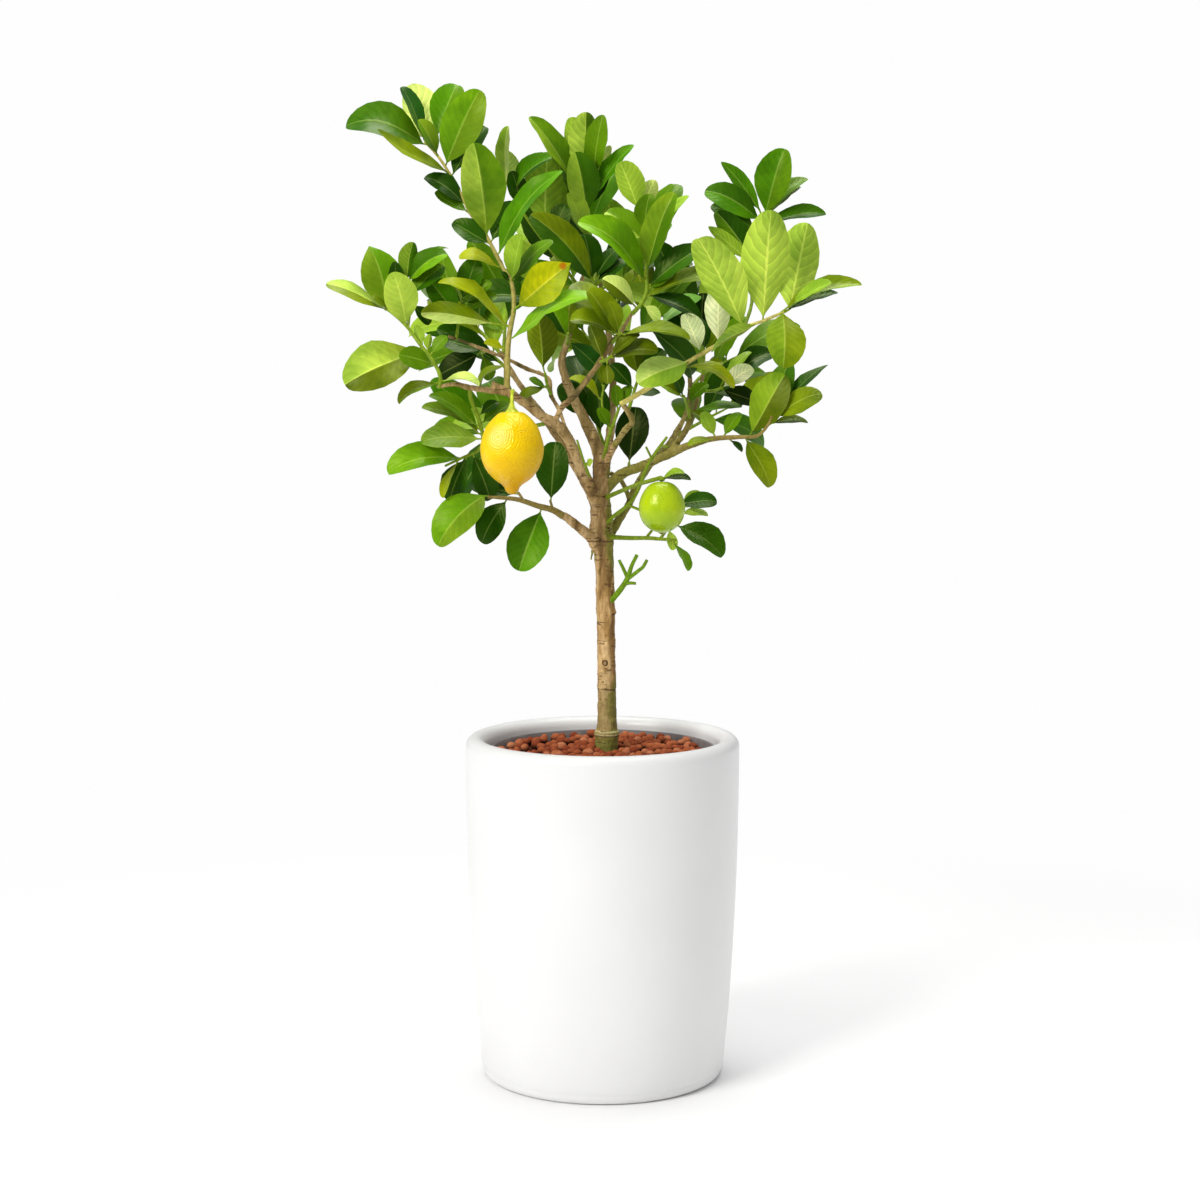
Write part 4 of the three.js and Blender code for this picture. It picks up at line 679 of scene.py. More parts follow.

# ---------------------------------------------------------------- leafy sprays
# Each green twig with its leaves is one piece. A lemon leaf is a leathery oval blade on a short stalk:
# folded a little along its midrib, waved at its edges, glossy above, paler and dull beneath, with side
# veins that curve up.

# Stems: u, v, layer, radius in millimetres. Leaves: u, v where the blade starts; u, v of its tip; depth of
# the tip past the stem and width seen from the front, in millimetres; roll in degrees (0 shows the upper
# face, 90 lies flat, 180 shows the underside); tone, or the tones of its two halves, with that of its foot
# after a colon; then arch as a share of the length, where it isn't the usual one, and 1 where the blade is
# drawn out to a point. The tones are in part painted shade and light: leaves deep in the crown take dark
# tones, and a half or a foot that lies in shade or in light takes a darker or lighter tone than the rest.
SPRAYS = {
    "spray_crown": ([
        [(507, 392, -38, 3.3), (507, 372, -37, 3.1), (508, 345, -34, 2.8), (511, 325, -32, 2.5),
         (514, 308, -30, 2.3), (512, 284, -26, 2.1), (503, 268, -22, 2), (497, 256, -20, 1.9),
         (482, 228, -16, 1.8), (470, 213, -13, 1.7), (460, 192, -10, 1.6), (446, 168, -6, 1.5),
         (437, 155, -3, 1.4), (425, 142, 0, 1.2)],
    ], [
        (425, 141, 346, 126, -12, 36, 42, "leaf:mid", 0.22),
        (446, 176, 379, 131, -30, 12, 65, "olive", -0.05),
        (430, 138, 406, 87, 34, 48, 155, "pale"),
        (437, 137, 401, 87, 4, 14, 60, "blue"),
        (438, 133, 457, 85, 18, 38, 25, "green/mid", 0.08),
        (446, 166, 480, 90, -16, 40, 12, "bright/fresh", 0.06),
        (438, 158, 418, 120, -14, 16, 50, "mid/fresh"),
        (452, 176, 486, 127, 20, 26, 35, "dark"),
        (488, 238, 474, 143, -25, 46, 12, "lime/mid:fresh"),
        (465, 205, 425, 178, 8, 20, 45, "dark", 0.1),
        (470, 214, 434, 192, -16, 19, 50, "mid", -0.05),
        (489, 246, 453, 223, 12, 36, 25, "dark"),
        (503, 268, 459, 258, -14, 15, 65, "gold", 0.16),
        (498, 255, 563, 171, -22, 22, 50, "green", 0.1),
        (490, 243, 517, 203, 12, 26, 30, "dark"),
        (511, 283, 522, 234, -14, 20, 40, "light", 0.06),
        (513, 281, 553, 241, -8, 16, 55, "mid", 0.08),
        (512, 284, 501, 272, -4, 12, 40, "dark"),
        (507, 328, 438, 283, -12, 12, 70, "gold", 0.12),
        (512, 340, 600, 298, -30, 16, 65, "bright", 0.12),
        (507, 350, 484, 343, -10, 14, 50, "gold"),
        (507, 362, 481, 388, -6, 9, 70, "olive", 0.2),
        (490, 323, 421, 313, -8, 20, 50, "pale/olive"),
    ]),
    "yellow_leaf": ([
        [(514, 313, -30, 1.3), (516, 307, -36, 1.2)],
    ], [
        (514, 307, 571, 263, -20, 38, 20, "yellow/gold:olive", 0.06, 0.8),
    ]),
    "spray_crown_back": ([
        [(581, 290, 30, 2), (562, 264, 26, 1.7), (538, 234, 20, 1.5), (518, 205, 16, 1.3),
         (508, 186, 14, 1.2)],
    ], [
        (506, 182, 508, 126, -6, 14, 55, "light/pale"),
        (507, 186, 503, 150, 10, 26, 150, "pale/light"),
        (512, 192, 552, 158, -10, 16, 60, "green/dark", 0.12),
        (545, 226, 548, 152, 4, 42, 165, "light", 0.04),
        (518, 210, 512, 172, 10, 24, 20, "dark"),
        (550, 250, 566, 205, 6, 26, 25, "dark", 0.06),
        (552, 240, 560, 178, 14, 30, 160, "light"),
    ]),
    "spray_top": ([
        [(586, 253, 34, 1.8), (588, 226, 34, 1.6), (586, 200, 33, 1.4), (585, 178, 32, 1.2)],
    ], [
        (574, 182, 529, 117, -4, 22, 45, "fresh/mid", 0.06),
        (577, 168, 571, 117, 12, 28, 160, "light"),
        (586, 176, 586, 112, -4, 34, 160, "mid/lime"),
        (594, 176, 603, 117, 12, 24, 30, "mid"),
        (598, 172, 611, 146, 10, 12, 150, "pale"),
        (588, 216, 575, 152, -18, 36, 15, "light/leaf", 0.06),
        (584, 240, 568, 193, -14, 20, 45, "light"),
        (592, 196, 634, 145, -6, 16, 50, "green", 0.06),
        (588, 210, 605, 165, 15, 30, 25, "dark", 0.06),
    ]),
    "spray_centre_front": ([
        [(578, 302, 28, 1.9), (588, 290, 12, 1.7), (595, 279, 0, 1.4)],
    ], [
        (594, 277, 530, 215, -22, 32, 30, "leaf/olive", 0.12),
        (596, 277, 584, 234, 4, 26, 25, "dark"),
        (597, 276, 618, 248, 2, 16, 40, "dark"),
        (599, 279, 628, 262, 6, 24, 50, "dark", 0.06),
    ]),
    "spray_right_centre": ([
        [(632, 314, -44, 2.2), (642, 303, -44, 2), (647, 290, -43, 1.9), (646, 272, -40, 1.7),
         (648, 252, -34, 1.5), (645, 232, -26, 1.4), (640, 210, -20, 1.2)],
    ], [
        (638, 207, 620, 162, -6, 32, 160, "light"),
        (642, 212, 655, 180, 8, 22, 165, "pale"),
        (649, 234, 650, 194, -16, 36, 20, "mid", 0.1),
        (650, 222, 673, 184, 2, 12, 50, "mid"),
        (647, 272, 675, 193, -20, 28, 30, "fresh/mid", 0.08),
        (650, 240, 689, 196, -6, 12, 60, "light"),
        (648, 262, 668, 215, 14, 20, 150, "light"),
        (650, 287, 704, 247, -4, 24, 35, "dark/leaf", 0.1),
        (646, 281, 578, 222, -34, 28, 45, "bright", 0.16),
        (640, 238, 606, 212, 10, 24, 30, "light/mid", 0.06),
        (631, 312, 602, 279, -16, 24, 50, "shade/pale", 0.08),
        (647, 297, 728, 280, -12, 16, 60, "olive", 0.12),
        (648, 290, 676, 270, 10, 14, 50, "mid"),
        (642, 303, 660, 320, -14, 24, 140, "pale"),
        (652, 296, 700, 320, -6, 18, 50, "dark", 0.1),
    ]),
    "spray_left_tip": ([
        [(439, 388, -50, 2), (440, 375, -50, 1.9), (431, 358, -50, 1.8), (419, 343, -48, 1.6),
         (408, 328, -45, 1.5), (398, 318, -42, 1.4), (388, 310, -40, 1.2)],
        [(408, 328, -45, 1.4), (410, 305, -36, 1.3), (407, 282, -28, 1.1)],
    ], [
        (393, 308, 369, 246, 14, 44, 18, "fresh/bright", 0.06, 0.7),
        (398, 316, 396, 262, 22, 18, 30, "dark"),
        (407, 327, 393, 272, -16, 40, 12, "lime"),
        (388, 311, 326, 284, -10, 14, 60, "olive/lime", 0.06),
        (392, 312, 373, 296, 4, 10, 60, "olive"),
        (407, 278, 413, 242, 2, 26, 150, "green/light"),
        (409, 280, 447, 254, -6, 22, 50, "leaf/bright", 0.12),
        (412, 290, 448, 248, 12, 12, 40, "mid", 0.2),
        (414, 296, 444, 266, 10, 22, 40, "mid/leaf"),
        (409, 302, 430, 324, 8, 20, 35, "dark"),
        (416, 351, 345, 385, -26, 54, 25, "shade/lime:olive", 0.1),
        (432, 366, 399, 355, -24, 22, 30, "mid", 0.06),
        (440, 382, 399, 404, -8, 13, 55, "fresh/olive", 0.14),
        (445, 381, 479, 386, -10, 9, 60, "pale", 0.15),
        (420, 350, 415, 325, 6, 18, 150, "light"),
        (430, 352, 430, 334, 4, 14, 150, "light"),
        (432, 354, 447, 336, 2, 16, 30, "mid"),
    ]),
    "spray_left_inner": ([
        [(456, 340, -31, 1.7), (459, 320, -26, 1.6), (462, 302, -20, 1.4), (456, 286, -14, 1.2)],
    ], [
        (458, 318, 425, 278, -38, 46, 20, "leaf/green", 0.06),
        (457, 318, 424, 300, -30, 18, 60, "olive", 0.08),
        (462, 301, 477, 258, -8, 28, 20, "leaf", 0.06),
        (462, 305, 492, 283, -8, 16, 40, "mid"),
        (463, 312, 497, 296, 0, 18, 40, "mid"),
    ]),
    "spray_left_shade": ([
        [(486, 350, -22, 1.7), (484, 352, -10, 1.4), (480, 353, 0, 1.2)],
    ], [
        (478, 354, 438, 376, 8, 34, 30, "deep"),
        (482, 355, 490, 380, 10, 24, 20, "mid"),
        (484, 350, 440, 340, 14, 26, 40, "dark"),
    ]),
    "spray_under_centre": ([
        [(551, 395, -14, 1.8), (547, 384, -22, 1.6), (545, 373, -28, 1.3)],
    ], [
        (543, 366, 538, 315, -12, 46, 165, "shade/olive"),
        (545, 386, 519, 402, -6, 12, 55, "olive", 0.1),
        (548, 392, 529, 379, -12, 9, 60, "mid"),
    ]),
    "spray_leader": ([
        [(567, 345, 18, 2), (568, 338, 8, 1.5), (568, 333, 2, 1.3)],
    ], [
        (568, 342, 573, 285, -6, 46, 150, "olive/fresh"),
        (570, 340, 600, 372, 6, 34, 40, "blue"),
        (566, 338, 545, 300, 0, 26, 30, "dark/bright"),
    ]),
    "spray_centre_low": ([
        [(612, 343, -40, 1.9), (617, 338, -50, 1.6), (621, 333, -58, 1.3)],
    ], [
        (619, 334, 570, 321, -16, 16, 60, "shade/olive", 0.08),
        (621, 332, 608, 302, -12, 22, 30, "olive", 0.06),
        (623, 331, 690, 340, -12, 12, 65, "olive/shade", 0.1),
        (618, 336, 588, 290, 4, 26, 40, "olive", 0.06),
        (616, 338, 573, 283, 10, 30, 35, "olive", 0.06),
    ]),
    "spray_centre_under": ([
        [(600, 362, -38, 1.9), (606, 360, -48, 1.6), (609, 357, -56, 1.3)],
    ], [
        (603, 358, 590, 325, -8, 20, 150, "shade"),
        (610, 356, 658, 352, -14, 18, 55, "shade", 0.1),
        (608, 360, 608, 384, -8, 18, 150, "shade"),
        (609, 354, 640, 335, -6, 20, 50, "shade", 0.08),
    ]),
    "spray_right_long": ([
        [(621, 404, -31, 2.7), (645, 390, -38, 2.5), (680, 367, -46, 2.3), (700, 355, -50, 2.2),
         (720, 343, -52, 2), (742, 328, -54, 1.8), (760, 322, -55, 1.6), (784, 312, -56, 1.4)],
    ], [
        (762, 319, 771, 210, -12, 48, 165, "lime", 0.04),
        (790, 309, 809, 222, 16, 46, 160, "lime", 0.04),
        (743, 325, 697, 240, -16, 44, 160, "lime"),
        (786, 309, 862, 285, -8, 14, 62, "olive/fresh", 0.08),
        (790, 309, 838, 293, 8, 10, 55, "dark"),
        (792, 304, 828, 284, 14, 12, 60, "light", 0.04),
        (783, 314, 783, 368, -38, 44, 15, "olive/fresh"),
        (757, 323, 712, 352, -16, 12, 110, "light/olive", 0.06),
        (688, 355, 638, 384, -20, 38, 30, "light/pale", 0.08),
        (684, 367, 734, 388, -20, 11, 60, "gold", 0.2),
        (716, 341, 720, 283, -12, 26, 170, "cream", 0.04),
        (699, 350, 684, 314, -6, 26, 160, "cream"),
        (705, 352, 700, 318, 10, 12, 40, "dark"),
    ]),
    "spray_right_top": ([
        [(744, 328, -53, 1.8), (752, 302, -40, 1.7), (750, 275, -28, 1.5), (755, 245, -20, 1.4),
         (765, 215, -14, 1.2)],
    ], [
        (766, 212, 785, 149, -8, 38, 15, "green/mid"),
        (759, 209, 721, 162, 4, 16, 140, "green"),
        (760, 218, 705, 191, -6, 26, 35, "green/leaf", 0.12),
        (757, 232, 711, 206, -12, 20, 45, "leaf", 0.1),
        (748, 258, 716, 212, -4, 26, 150, "dark/mid"),
        (747, 262, 708, 227, 8, 14, 150, "light"),
        (769, 212, 808, 179, 6, 14, 50, "mid", 0.12),
        (771, 212, 801, 186, -4, 9, 60, "light"),
        (768, 224, 826, 214, 4, 15, 50, "leaf/dark", 0.1),
    ]),
    "spray_right_inner": ([
        [(700, 391, -5, 1.8), (712, 391, -12, 1.6), (722, 388, -20, 1.3)],
    ], [
        (722, 385, 753, 368, -12, 18, 150, "cream"),
        (724, 380, 752, 352, 2, 10, 50, "light", 0.06),
        (726, 378, 775, 353, 14, 22, 40, "dark", 0.08),
        (712, 391, 742, 406, -10, 12, 60, "dark", 0.2),
        (724, 382, 768, 374, 8, 16, 40, "mid", 0.06),
        (722, 389, 757, 403, 12, 26, 35, "deep", 0.06),
    ]),
    "spray_fork_end": ([
        [(703, 378, -2, 1.8), (704, 355, 4, 1.5), (703, 338, 8, 1.2)],
    ], [
        (703, 336, 704, 293, 4, 24, 20, "deep"),
        (704, 350, 690, 318, 10, 26, 30, "deep"),
        (704, 356, 722, 330, 12, 22, 30, "olive"),
        (704, 372, 723, 362, 4, 16, 30, "olive"),
    ]),
    "spray_right_low": ([
        [(705, 440, -27, 2.9), (720, 438, -32, 2.5), (740, 437, -38, 2.1), (757, 436, -44, 1.8),
         (768, 425, -48, 1.5), (772, 416, -50, 1.2)],
    ], [
        (749, 432, 785, 375, -10, 36, 25, "fresh/shade", 0.06),
        (771, 417, 822, 394, -6, 22, 40, "olive", 0.1),
        (772, 414, 829, 365, 10, 12, 50, "dark"),
        (766, 424, 790, 362, 14, 26, 30, "mid/leaf"),
        (771, 424, 808, 423, 2, 9, 60, "olive/dark", 0.06),
        (745, 440, 770, 487, -6, 26, 25, "olive", 0.1),
        (716, 439, 688, 446, -8, 12, 60, "olive", 0.06),
        (728, 438, 742, 452, 4, 12, 50, "dark"),
        (722, 436, 741, 413, 6, 24, 40, "mid", 0.06),
        (716, 436, 702, 412, 4, 16, 30, "light"),
    ]),
    "spray_fork": ([
        [(690, 419, -10, 1.8), (687, 406, -18, 1.6), (684, 396, -26, 1.3)],
    ], [
        (682, 397, 660, 384, -8, 20, 40, "light/olive", 0.08),
        (688, 408, 712, 428, -6, 16, 40, "olive", 0.08),
        (690, 414, 742, 407, -4, 8, 65, "bright", 0.06),
        (686, 394, 672, 372, 2, 20, 35, "dark"),
        (688, 404, 708, 384, 4, 22, 35, "mid"),
    ]),
    "spray_lower_right": ([
        [(608, 537, -3, 2.6), (630, 538, -13, 2.2), (648, 538, -22, 2), (660, 539, -28, 1.8),
         (676, 540, -32, 1.4)],
        [(646, 538, -21, 1.5), (653, 529, -20, 1.3)],
        [(660, 539, -28, 1.6), (672, 522, -22, 1.3), (680, 506, -16, 1.1)],
    ], [
        (680, 527, 722, 557, -16, 34, 35, "leaf", 0.14),
        (676, 540, 688, 571, -10, 10, 60, "bright", 0.06),
        (670, 527, 673, 551, -16, 11, 30, "lime"),
        (681, 504, 717, 502, 0, 18, 45, "dark", 0.06),
        (680, 508, 702, 494, 6, 14, 150, "light"),
        (677, 513, 708, 516, -2, 10, 60, "lime"),
    ]),
    "green_lemon_stalk": ([
        [(605, 498, -2, 2.6), (614, 494, -14, 2.3), (636, 485, -38, 2.1), (653, 480, -52, 2.1),
         (661, 478, -56, 2.3), (662, 480.5, -57, 2.8)],
    ], [
        (660, 478, 691, 480, 4, 11, 60, "dark", 0.06),
        (658, 477, 684, 474, -6, 8, 60, "light", 0.1),
    ]),
    "thorny_twig": ([
        [(605, 524, -3, 2.4), (614, 516, -9, 2.1), (628, 505, -17, 2), (636, 494, -21, 1.9),
         (642, 480, -25, 1.8), (648, 465, -28, 1.7), (656, 452, -31, 1.6), (667, 437, -34, 1.3)],
        [(628, 505, -17, 1.5), (640, 510, -22, 1.4)],
        [(652, 459, -29, 1.2), (646, 447, -32, 1)],
        [(661, 445, -32, 1.2), (668, 447, -36, 1)],
    ], []),
    "spray_behind_lemon": ([
        [(470, 388, -44, 2.3), (471, 400, -38, 2.2), (479, 420, -30, 2), (483, 438, -26, 1.8),
         (479, 450, -26, 1.6), (464, 457, -30, 1.4), (445, 466, -36, 1.1)],
    ], [
        (484, 430, 429, 396, -12, 18, 45, "bright", 0.1),
        (481, 426, 421, 408, -20, 15, 50, "light", 0.08),
        (484, 435, 455, 419, -16, 9, 60, "gold", 0.1),
        (481, 438, 421, 442, -14, 27, 45, "light", 0.08),
        (462, 453, 388, 473, -16, 28, 40, "bright", 0.14),
        (459, 461, 443, 498, -12, 8, 60, "gold"),
        (468, 457, 450, 502, 6, 34, 20, "dark"),
        (478, 416, 498, 402, 8, 24, 25, "dark"),
        (480, 424, 510, 404, 14, 20, 30, "mid"),
        (474, 456, 490, 500, 10, 30, 25, "dark"),
    ]),
    "spray_lower_left": ([
        [(563, 516, -12, 3.7), (553, 510, -14, 3.2), (538, 506, -18, 2.8), (520, 500, -24, 2.3),
         (505, 498, -28, 2), (488, 497, -32, 1.5)],
        [(553, 510, -14, 1.4), (550, 500, -14, 1.2)],
        [(525, 503, -22, 1.6), (518, 492, -20, 1.3)],
    ], [
        (484, 496, 438, 546, -22, 46, 32, "fresh/bright", 0.16),
        (507, 502, 482, 543, 4, 28, 20, "dark", 0.06),
        (518, 491, 470, 484, 10, 24, 30, "dark"),
        (540, 513, 519, 571, -22, 43, 10, "green/leaf", 0.06),
        (550, 498, 556, 442, 6, 36, 15, "dark"),
    ]),
    "spray_under_right": ([
        [(629, 470, -6, 1.8), (629, 463, 4, 1.4)],
    ], [
        (630, 462, 636, 407, 10, 46, 15, "deep"),
    ]),
    "spray_centre_twig": ([
        [(604, 458, -5, 2.1), (608, 440, -10, 1.9), (613, 425, -14, 1.7), (619, 408, -18, 1.5)],
        [(611, 432, -12, 1.4), (602, 405, -14, 1.3), (604, 385, -16, 1.1)],
    ], [
        (618, 408, 615, 385, -4, 20, 20, "mid"),
        (620, 407, 630, 386, 2, 14, 40, "mid"),
        (610, 430, 598, 408, 4, 14, 30, "mid"),
        (604, 386, 596, 362, 4, 16, 40, "olive"),
        (602, 400, 569, 379, -4, 10, 60, "gold", 0.15),
    ]),
    "spray_shade_left": ([
        [(607, 452, 17, 1.9), (598, 428, 20, 1.6), (591, 402, 22, 1.3)],
    ], [
        (596, 436, 598, 388, 4, 26, 20, "dark"),
        (594, 420, 560, 384, 6, 28, 25, "dark"),
        (591, 402, 604, 358, 6, 30, 25, "dark"),
        (590, 400, 572, 356, 8, 30, 25, "dark"),
    ]),
    "spray_shade_right": ([
        [(628, 412, -27, 2), (634, 392, -20, 1.6), (640, 373, -15, 1.3)],
    ], [
        (640, 374, 628, 335, 6, 30, 25, "olive/shade"),
        (638, 380, 664, 350, 8, 30, 30, "dark"),
        (635, 390, 611, 364, 10, 28, 30, "dark"),
        (634, 394, 660, 392, 10, 20, 50, "dark"),
    ]),
    "twig_buds": ([
        [(591, 481, -9, 1.5), (585, 465, -20, 1.3), (577, 440, -25, 1.1)],
        [(585, 465, -20, 1), (591, 459, -22, 0.9)],
    ], [
        (586, 466, 593, 460, -6, 9, 30, "lime"),
    ]),
    "sprout": ([
        [(611, 601, -3, 3.1), (617, 594, -6, 3), (625, 583, -10, 2.7), (629, 574, -12, 2.3),
         (632, 565, -13, 2), (637, 555, -14, 1.8)],
        [(628, 579, -11, 2), (638, 571, -14, 1.9), (643, 567, -15, 1.8), (647, 560, -16, 1.7)],
        [(628, 579, -11, 1.9), (623, 568, -11, 1.7), (619, 560, -11, 1.5)],
        [(625, 584, -10, 1.9), (630, 583, -12, 1.7), (636, 583.5, -13, 1.4)],
    ], []),
}

# Sprays at the back and inside the crown, where the picture doesn't reach, follow a rule: how many leaves,
# the seed of their draws, and the stem's route.
GROWN = {
    "spray_back_01": (5, 11, [(501, 354, 52, 2.2), (484, 335, 59, 1.8), (468, 320, 65, 1.4),
        (458, 312, 68, 1.1)]),
    "spray_back_02": (5, 12, [(519, 383, 45, 2.2), (500, 362, 55, 1.8), (480, 346, 63, 1.4),
        (464, 340, 67, 1.1)]),
    "spray_back_03": (5, 13, [(548, 423, 33, 2.2), (524, 428, 42, 1.8), (498, 432, 49, 1.4),
        (482, 434, 52, 1.1)]),
    "spray_back_04": (5, 14, [(503, 357, 51, 1.8), (506, 320, 64, 1.6), (512, 290, 73, 1.2)]),
    "spray_back_05": (5, 15, [(596, 262, 53, 2), (590, 238, 57, 1.7), (582, 220, 60, 1.4),
        (576, 210, 61, 1.1)]),
    "spray_back_06": (5, 16, [(604, 307, 49, 2), (580, 290, 63, 1.7), (560, 270, 72, 1.4),
        (550, 258, 77, 1.1)]),
    "spray_back_07": (5, 17, [(605, 313, 48, 2), (626, 290, 60, 1.7), (640, 268, 68, 1.4),
        (645, 254, 72, 1.1)]),
    "spray_back_08": (5, 18, [(612, 365, 40, 2.2), (598, 350, 58, 1.8), (588, 338, 72, 1.5),
        (582, 330, 80, 1.1)]),
    "spray_back_09": (5, 19, [(687, 354, 53, 2), (696, 335, 60, 1.7), (700, 318, 64, 1.4),
        (702, 310, 66, 1.1)]),
    "spray_back_10": (5, 20, [(689, 390, 48, 2.2), (704, 374, 57, 1.8), (722, 364, 64, 1.4),
        (734, 358, 68, 1.1)]),
    "spray_back_11": (5, 21, [(675, 436, 39, 2.2), (694, 426, 47, 1.8), (712, 416, 54, 1.4),
        (724, 410, 57, 1.1)]),
    "spray_back_12": (5, 22, [(612, 350, 43, 1.9), (630, 338, 54, 1.6), (648, 326, 63, 1.3),
        (656, 320, 67, 1.1)]),
    "spray_inner_1": (4, 31, [(572, 324, 21, 1.8), (556, 308, 24, 1.5), (540, 290, 26, 1.2)]),
    "spray_inner_2": (4, 32, [(578, 301, 27, 1.8), (600, 290, 34, 1.5), (622, 278, 38, 1.2)]),
    "spray_inner_3": (4, 34, [(618, 337, -41, 1.6), (640, 330, -28, 1.4), (662, 325, -18, 1.2)]),
}
GROWN_TONES = ("mid", "dark", "green", "mid", "olive", "dark", "light")
TURN, OPEN, END_OPEN, LIFT = 2.4, 0.95, 0.25, 0.12
STRETCH = (0.3, 0.93)  # the part of its stem, as shares of the way, on which its leaves stand
GROWN_LENGTH = (0.056, 0.082)
GROWN_STALK = 0.007
GROWN_ARCH = (0.05, 0.13)
TO_LIGHT = Vector((-0.35, -0.75, 0.6))  # where the light comes from, to which the upper faces turn
SLENDER = 0.46
NEAR_TIP = 0.0015
USUAL_ARCH = 0.05

# How far a leaf that would cross another is swung to the back or the front, in millimetres at its tip.
SWINGS = [0, -8, 8, -16, 16, -24, 24, -34, 34, -45, 45]

# The leaves' greens. The dark ones, deep, dark and shade, are in part painted shade for leaves that lie in
# the shade of the crown.
TONES = {
    "deep": paint(12, 40, 2), "dark": paint(34, 76, 4), "blue": paint(32, 84, 16), "leaf": paint(54, 100, 4),
    "mid": paint(86, 128, 8), "green": paint(76, 132, 6), "bright": paint(110, 162, 14),
    "fresh": paint(122, 156, 26), "light": paint(144, 180, 48), "lime": paint(172, 204, 68),
    "pale": paint(194, 216, 106), "cream": paint(236, 242, 184), "olive": paint(116, 138, 10),
    "shade": paint(80, 98, 4), "gold": paint(154, 168, 10), "yellow": paint(198, 196, 2)}
UNDERSIDE = paint(136, 168, 76)
STALK_TONE = paint(142, 168, 40)
MIDRIB_TONE = paint(196, 212, 112)
TWIG_TONES = {"green": paint(136, 166, 44), "lime": paint(116, 158, 30), "olive": paint(126, 152, 36),
              "tan": paint(178, 166, 92), "cream": paint(206, 196, 112), "brown": paint(146, 128, 72)}
TWIG_OF = {"spray_crown": "tan", "spray_right_long": "cream", "spray_lower_left": "brown", "sprout": "lime",
           "spray_lower_right": "olive", "thorny_twig": "olive", "green_lemon_stalk": "olive",
           "spray_right_low": "brown"}
DRY_TIP = place(563, 266, -0.078)  # the brown mark on the yellow leaf

# Shares of the length at a leaf's rows of points, and where the eight points of a row stand: across the
# blade from its left edge (-1) to its right (1), and over or under its middle face in millimetres.
STALK_ROWS = (0.0, 0.5, 0.93)
STALK_THICK = (0.00105, 0.00078, 0.0009)
BLADE_ROWS = (0.03, 0.11, 0.22, 0.35, 0.49, 0.63, 0.76, 0.87, 0.945, 0.98, 0.998)
ACROSS = ((-1, 0), (-0.5, 0.3), (0, 0.18), (0.5, 0.3), (1, 0), (0.5, -0.3), (0, -0.75), (-0.5, -0.3))
SHORT_STALK = 0.005
STALK_LEAN = 0.35  # the cosine past which a stalk leans too far off the blade's way
FIRST_LEAF, LAST_LEAF = 0.5, 0.8  # how far along the first and the last stretch of a stem a leaf may stand
LEAST_HALF = (0.0011, 0.0004)  # the narrowest half width of the blade, near its foot and near its tip
BROADEST = 0.68  # the greatest width as a share of the length


def seeded(seed):
    """Draws between 0 and 1 that are the same each time."""
    most = 2 ** 31 - 1
    while True:
        seed = seed * 16807 % most
        yield seed / most


def part_way(ends, share):
    return ends[0] + (ends[1] - ends[0]) * share


def model_leaf():
    """A bare leaf: a tube of eight sides with a ring of points at each row of its stalk and blade. Its faces
    are cut into triangles the same way on both sides of the blade, so that the two never cross."""
    sides = len(ACROSS)
    leaf = add_disc("leaf", 1, 0, sides)
    bpy.ops.object.mode_set(mode="EDIT")
    for _ in range(len(STALK_ROWS) + len(BLADE_ROWS) - 1):
        bpy.ops.mesh.extrude_region_move(TRANSFORM_OT_translate={"value": (0, 0, 1)})
    bpy.ops.mesh.select_all(action="SELECT")
    bpy.ops.mesh.normals_make_consistent(inside=False)
    bpy.ops.object.mode_set(mode="OBJECT")
    shape, around = take_shape(leaf)
    # row of each point, and its corner counted from the left edge over the upper face
    rows = [round(p.z) for p in shape]
    corners = [round((math.pi - math.atan2(p.y, p.x)) / (2 * math.pi / sides)) % sides for p in shape]
    cut = []
    for face in around:
        if len(face) > 4:
            cut.append(face)
            continue
        start = min(range(4), key=lambda k: (rows[face[k]], abs(ACROSS[corners[face[k]]][0])))
        a, b, c, d = face[start:] + face[:start]
        cut += [[a, b, c], [a, c, d]]
    return rows, corners, cut


leaf_rows, leaf_corners, leaf_faces = model_leaf()


def nearest(stems, u, v):
    """The point of the stems that is closest to u, v in the picture, kept off their two ends."""
    best = None
    for route in stems:
        for i, (a, b) in enumerate(zip(route, route[1:])):
            span = (b[0] - a[0], b[1] - a[1])
            share = ((u - a[0]) * span[0] + (v - a[1]) * span[1]) / (span[0] ** 2 + span[1] ** 2 or 1)
            share = min(max(share, FIRST_LEAF if i == 0 else 0), LAST_LEAF if i == len(route) - 2 else 1)
            point = [p + share * (q - p) for p, q in zip(a, b)]
            far = math.hypot(point[0] - u, point[1] - v)
            if best is None or far < best[0]:
                best = (far, point)
    return best[1]


def place_leaf(stems, u0, v0, u1, v1, back, seen, roll, tone, arch=USUAL_ARCH, pointed=0):
    """A leaf that the picture shows, from its row of places."""
    root = on_route(nearest(stems, u0, v0))
    return {"root": root, "base": place(u0, v0, root.y + 0.0001 * back),
            "tip": place(u1, v1, root.y + back / 1000), "seen": seen / 1000, "roll": math.radians(roll),
            "arch": arch, "tone": tone, "pointed": pointed}


